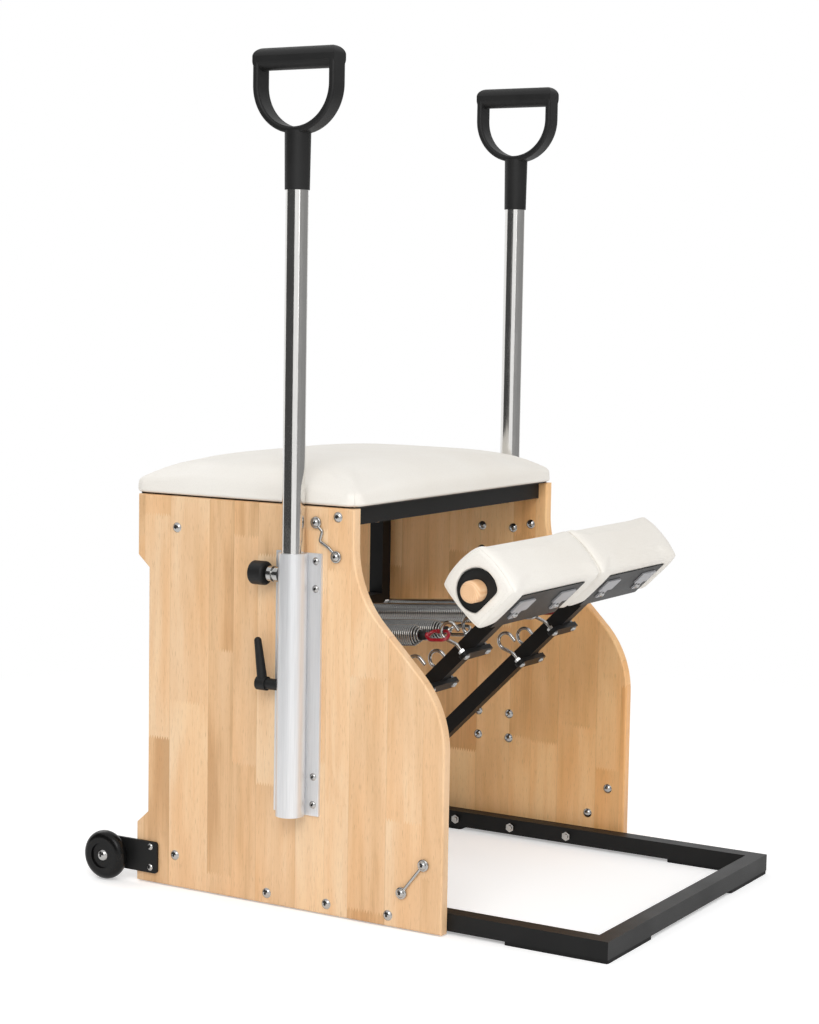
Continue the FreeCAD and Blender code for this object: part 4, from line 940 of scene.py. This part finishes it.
def pedal_pad(side):
    """One padded pedal: a stuffed square roll with welts and stitched seams at both ends."""
    node = side + "_pedal_pad"
    low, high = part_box(node)
    to_rest = pad_frame(side) @ Matrix.Translation(Vector((0.0, -pad_reach, pad_rise)))
    shape = Shape()
    shape.skin(pad_rings(low.x, high.x), loop=True)
    made = shape.object(side + "_pedal_pad_cover", finishes["leather"])
    hole_centre = Vector((pad_hole_back_shift, -pad_hole_drop))

    def held(point):
        return (Vector((point.y, point.z)) - hole_centre).length < pad_hole_radius + pad_voxel

    soften(made, pad_voxel, held, pad_swell)
    press_on_bracket(made, side)
    finer(made)
    surface = surface_of(made)
    welts = Shape()
    stitches = Shape()
    lips = Shape()
    for x, outward in ((low.x, -1), (high.x, 1)):
        rim = section_at(x, pad_outline(pad_end_draw_in * pad_welt_inset_share))
        welts.tube([surface.find_nearest(point)[0] for point in rim], pad_welt_radius, trim_sides, loop=True)
        seam = evenly(section_at(x, pad_outline(pad_end_draw_in + pad_stitch_inset)), pad_seam_steps)
        sew(stitches, [surface.find_nearest(point)[0] for point in seam])
        deep = x - outward * pad_lip_depth
        lips.skin([
            section_at(x, pad_hole(0.0)), section_at(x, pad_hole(pad_lip_thickness)),
            section_at(deep, pad_hole(pad_lip_thickness)), section_at(deep, pad_hole(0.0)),
        ], loop=True)
    for extra, finish, slot, name in (
        (welts, finishes["leather"], "leather", "_pedal_pad_welts"),
        (stitches, thread_finish, "leather", "_pedal_pad_stitches"),
        (lips, finishes["black_plastic"], "black_plastic", "_pedal_pad_lips"),
    ):
        trim = extra.object(side + name, finish)
        trim.data.transform(to_rest)
        settle(trim, side + "_pedal", slot)
    made.data.transform(to_rest)
    settle(made, side + "_pedal", "leather", node)


def evenly(loop, count):
    """The points of a closed path again, in equal steps."""
    ends = loop[1:] + loop[:1]
    lengths = [(after - before).length for before, after in zip(loop, ends)]
    whole = sum(lengths)
    points = []
    index = 0
    walked = 0.0
    for step in range(count):
        travel = whole * step / count
        while travel > walked + lengths[index]:
            walked += lengths[index]
            index += 1
        points.append(loop[index].lerp(ends[index], (travel - walked) / lengths[index]))
    return points


def sew(shape, path):
    """Lays a row of short threads along a closed path on a surface."""
    walked = 0.0
    thread = []
    for index in range(len(path)):
        here, there = path[index - 1], path[index]
        walked += (there - here).length
        if walked % (stitch_length + stitch_gap) < stitch_length:
            thread.append(there)
        else:
            if len(thread) > 2:
                shape.tube(thread, stitch_radius, stitch_sides)
            thread = []


def spring_line(side):
    """A pedal's spring line: its rear end, and the way from there to the snap hooks."""
    joints = {joint["name"]: joint for joint in frame["joints"]}
    rear = Vector(joints[side + "_spring_tilt"]["pos_m"])
    return rear, Vector(joints[side + "_spring_stretch"]["axis"]).normalized()


def reach_along(points, rear, ahead):
    """The nearest and farthest of some points along a spring's line."""
    travels = [(point - rear).dot(ahead) for point in points]
    return min(travels), max(travels)


def by_rank(solids):
    """A pair of a side's solids as (name, points), the one nearer the middle of the part first."""
    def offset(points):
        return abs(sum(point.x for point in points) / len(points))
    return zip(("inner", "outer"), sorted(solids, key=offset))


def spring_coils(side):
    """Two close-wound springs that stretch between the anchor bar and the pedal, and their end ferrules."""
    rear, ahead = spring_line(side)
    node = side + "_spring_coils"
    plug_node = side + "_spring_plugs"
    across = Vector((1.0, 0.0, 0.0))
    up = ahead.cross(across)
    ferrules = Shape()
    for (rank, points), (_, plug) in zip(by_rank(solids_in(node)), by_rank(solids_in(plug_node))):
        near = reach_along(points, rear, ahead)[0] + wire_radius
        far = reach_along(plug, rear, ahead)[1] - ferrule_length
        lowest = min(point.x for point in points)
        highest = max(point.x for point in points)
        radius = (highest - lowest) / 2 - wire_radius
        axis = Vector(((lowest + highest) / 2, rear.y, rear.z))
        turns = round((far - near) / coil_pitch)
        path = []
        for step in range(turns * coil_steps + 1):
            turn = step / coil_steps
            taper = max(0.0, 1 - (turns - turn) / taper_turns)
            swing = radius + (taper_radius - radius) * taper
            angle = math.tau * turn
            heart = axis + ahead * (near + (far - near) * turn / turns)
            path.append(heart + across * (swing * math.cos(angle)) + up * (swing * math.sin(angle)))
        shape = Shape()
        shape.tube(path, wire_radius, coil_sides)
        made = shape.object(f"{side}_{rank}_spring", finishes["spring_steel"])
        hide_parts(node)
        end = axis + ahead * far
        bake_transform(made)
        root = [(ferrule_radius * ferrule_root_share, -wire_radius)]
        ferrules.turned(root + profile(ferrule_shares, ferrule_radius, ferrule_length), end, ahead)
    made = ferrules.object(side + "_spring_ferrules", finishes["black_plastic"])
    settle(made, side + "_snap_link", "black_plastic", plug_node)


def snap_hooks(side):
    """The closed hooks between the springs and the pedal: an oval rod with a sprung gate."""
    rear, ahead = spring_line(side)
    node = side + "_snap_hooks"
    across = Matrix.Rotation(hook_turn, 3, ahead) @ Vector((1.0, 0.0, 0.0))
    for rank, points in by_rank(solids_in(node)):
        near, far = reach_along(points, rear, ahead)
        lowest = min(point.x for point in points)
        highest = max(point.x for point in points)
        half = (highest - lowest) / 2 - hook_rod_radius
        centre = Vector(((lowest + highest) / 2, rear.y, rear.z))
        nose = centre + ahead * (far - hook_rod_radius - half)
        heel = nose - ahead * hook_straight
        path = []
        for start, turn in ((nose, 0.0), (heel, math.pi)):
            for step in range(hook_bend_steps + 1):
                angle = turn + math.pi * step / hook_bend_steps
                path.append(start + across * (half * math.cos(angle)) + ahead * (half * math.sin(angle)))
        shape = Shape()
        shape.tube(path, hook_rod_radius, tube_sides, loop=True)
        gate = (nose + heel) / 2 + across * half - ahead * (gate_length / 2)
        barrel = profile(gate_shares, gate_radius, gate_length)
        shape.turned([(hook_rod_radius, 0.0), *barrel, (hook_rod_radius, gate_length)], gate, ahead)
        neck = heel - ahead * (half - hook_rod_radius)
        length = (neck - centre).dot(ahead) - near
        shape.turned(profile(swivel_shares, swivel_radius, length), neck, -ahead)
        slot = "snap_hook_red" if rank == "outer" else "bright_steel"
        made = shape.object(f"{side}_{rank}_snap_hook", finishes[slot])
        settle(made, side + "_snap_link", slot, node)


def bolt_socket_shade_caps():
    """A dark six-sided cap on each bolt head on the panels' outer faces: painted shade for the socket's recess."""
    panel_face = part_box("right_side_panel")[1].x
    shape = Shape()
    for node in ("sleeve_bolts", "strap_anchor_bolts", "panel_bolts", "wheel_fasteners"):
        for points in solids_in(node):
            apex = max(points, key=lambda point: abs(point.x))
            if abs(apex.x) < panel_face + socket_shade_depth:
                continue
            middle_y = (max(point.y for point in points) + min(point.y for point in points)) / 2
            middle_z = (max(point.z for point in points) + min(point.z for point in points)) / 2
            outward = Vector((math.copysign(1.0, apex.x), 0.0, 0.0))
            top = Vector((apex.x, middle_y, middle_z)) + outward * socket_shade_proud
            # The dark six-sided cap is painted shade: it stands for the shade inside the socket, with no recess
            # cut.
            shape.turned([(socket_shade_radius, -socket_shade_depth), (socket_shade_radius, 0.0)], top, outward, socket_shade_sides)
    made = shape.object("bolt_socket_shade_caps", finishes["black_steel"])
    made.data.polygons.foreach_set("use_smooth", [False] * len(made.data.polygons))
    settle(made, "chassis", "black_steel")


def lever_screw(side):
    """The bright screw in the outer end of a clamp lever's hub."""
    turn = next(joint for joint in frame["joints"] if joint["name"] == side + "_clamp_turn")
    pivot = Vector(turn["pos_m"])
    ahead = Vector(turn["axis"]).normalized()
    points = [vertex.co for vertex in frame["nodes"][side + "_clamp_lever"].data.vertices]
    panel = sum(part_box(side + "_side_panel"), Vector()) / 2
    if (pivot - panel).dot(ahead) < 0:
        ahead = -ahead
    far = max((point - pivot).dot(ahead) for point in points)
    shape = Shape()
    shape.turned(
        [(lever_screw_radius, -lever_screw_height), (lever_screw_radius, lever_screw_height / 2),
         (lever_screw_radius / 2, lever_screw_height)],
        pivot + ahead * far, ahead,
    )
    made = shape.object(side + "_lever_screw", finishes["bright_steel"])
    settle(made, side + "_clamp_lever", "bright_steel")


def seen_share(tree):
    """One for what the camera sees, directly, mirrored or through glass, and zero for scattered light."""
    path = tree.nodes.new("ShaderNodeLightPath")
    share = path.outputs["Is Camera Ray"]
    for name in ("Is Glossy Ray", "Is Transmission Ray"):
        either = tree.nodes.new("ShaderNodeMath")
        either.operation = "MAXIMUM"
        tree.links.new(share, either.inputs[0])
        tree.links.new(path.outputs[name], either.inputs[1])
        share = either.outputs[0]
    return share


def plain_floor():
    """A white floor that takes the part's soft shadow and fades into the white backdrop."""
    finish = Finish("floor", Roughness=1.0, Specular_IOR_Level=0.0)
    tree = finish.tree
    seen = seen_share(tree)
    finish.feed("Base Color", (*grey(floor_albedo), 1.0))
    finish.feed("Emission Color", white)
    finish.feed("Emission Strength", finish.math("MULTIPLY", seen, floor_glow))
    x, y, _ = finish.split(finish.place())
    fade = finish.levels(finish.length(x, y), floor_fade_start, floor_fade_end, 0.0, 1.0)
    glow = finish.add("ShaderNodeEmission", {"Color": white, "Strength": backdrop_level})
    blend = finish.add("ShaderNodeMixShader", {"Fac": finish.math("MULTIPLY", seen, fade)})
    tree.links.new(finish.shader.outputs[0], blend.inputs[1])
    tree.links.new(glow.outputs[0], blend.inputs[2])
    tree.links.new(blend.outputs[0], tree.nodes["Material Output"].inputs["Surface"])
    half = floor_size / 2
    mesh = bpy.data.meshes.new("floor")
    corners = [(-half, -half, 0.0), (half, -half, 0.0), (half, half, 0.0), (-half, half, 0.0)]
    mesh.from_pydata(corners, [], [(0, 1, 2, 3)])
    mesh.materials.append(finish.material)
    floor = bpy.data.objects.new("floor", mesh)
    bpy.context.scene.collection.objects.link(floor)


def screen(name, first, last, brightness):
    """A curved screen outside the picture, which shows only as a reflection in the metal."""
    finish = Finish(name, Roughness=1.0, Specular_IOR_Level=0.0, Base_Color=black)
    finish.feed("Emission Color", white)
    finish.feed("Emission Strength", brightness)
    to_camera = Vector((-math.sin(camera_yaw), -math.cos(camera_yaw), 0.0))
    to_left = Vector((-math.cos(camera_yaw), math.sin(camera_yaw), 0.0))
    rows = []
    for height in (screen_low, screen_high):
        row = []
        for step in range(screen_steps + 1):
            bearing = math.radians(first + (last - first) * step / screen_steps)
            way = to_camera * math.cos(bearing) + to_left * math.sin(bearing)
            row.append(way * screen_distance + Vector((0.0, 0.0, height)))
        rows.append(row)
    count = screen_steps + 1
    mesh = bpy.data.meshes.new(name)
    faces = [(step, step + 1, count + step + 1, count + step) for step in range(screen_steps)]
    mesh.from_pydata(rows[0] + rows[1], [], faces)
    mesh.materials.append(finish.material)
    made = bpy.data.objects.new(name, mesh)
    made.visible_camera = False
    made.visible_diffuse = False
    made.visible_transmission = False
    made.visible_shadow = False
    bpy.context.scene.collection.objects.link(made)


def plain_sky():
    """An even sky: white where it is seen or mirrored, and gentler as light."""
    world = bpy.data.worlds.new("sky")
    world.use_nodes = True
    bpy.context.scene.world = world
    tree = world.node_tree
    light = tree.nodes["Background"]
    light.inputs["Color"].default_value = white
    light.inputs["Strength"].default_value = sky_level
    seen = tree.nodes.new("ShaderNodeBackground")
    seen.inputs["Color"].default_value = white
    seen.inputs["Strength"].default_value = backdrop_level
    blend = tree.nodes.new("ShaderNodeMixShader")
    tree.links.new(seen_share(tree), blend.inputs["Fac"])
    tree.links.new(light.outputs[0], blend.inputs[1])
    tree.links.new(seen.outputs[0], blend.inputs[2])
    tree.links.new(blend.outputs[0], tree.nodes["World Output"].inputs["Surface"])


def soft_lamp(name, place, size, power):
    lamp = bpy.data.lights.new(name, "AREA")
    lamp.shape = "DISK"
    lamp.size = size
    lamp.energy = power
    made = bpy.data.objects.new(name, lamp)
    made.location = place
    made.rotation_euler = (lamp_aim - place).to_track_quat("-Z", "Y").to_euler()
    bpy.context.scene.collection.objects.link(made)


def photo_camera():
    """A camera where the photograph was taken from."""
    lens = bpy.data.cameras.new("camera")
    lens.lens = camera_lens_mm
    lens.sensor_width = camera_sensor_mm
    made = bpy.data.objects.new("camera", lens)
    ahead = Vector((
        math.sin(camera_yaw) * math.cos(camera_pitch),
        math.cos(camera_yaw) * math.cos(camera_pitch),
        -math.sin(camera_pitch),
    ))
    level = Vector((math.cos(camera_yaw), -math.sin(camera_yaw), 0.0))
    upright = level.cross(ahead)
    right = level * math.cos(camera_roll) + upright * math.sin(camera_roll)
    up = upright * math.cos(camera_roll) - level * math.sin(camera_roll)
    turn = Matrix((right, up, -ahead)).transposed().to_4x4()
    made.matrix_world = Matrix.Translation(camera_place) @ turn
    bpy.context.scene.collection.objects.link(made)
    bpy.context.scene.camera = made


dress_nodes()
seat_cushion()
for side in sides:
    pedal_pad(side)
    spring_coils(side)
    snap_hooks(side)
    lever_screw(side)
bolt_socket_shade_caps()
plain_floor()
plain_sky()
for name, first, last, brightness in screens:
    screen(name, first, last, brightness)
soft_lamp("key", key_place, key_size, key_power)
soft_lamp("fill", fill_place, fill_size, fill_power)
soft_lamp("back", back_place, back_size, back_power)
photo_camera()
bpy.context.scene.view_settings.view_transform = "Standard"
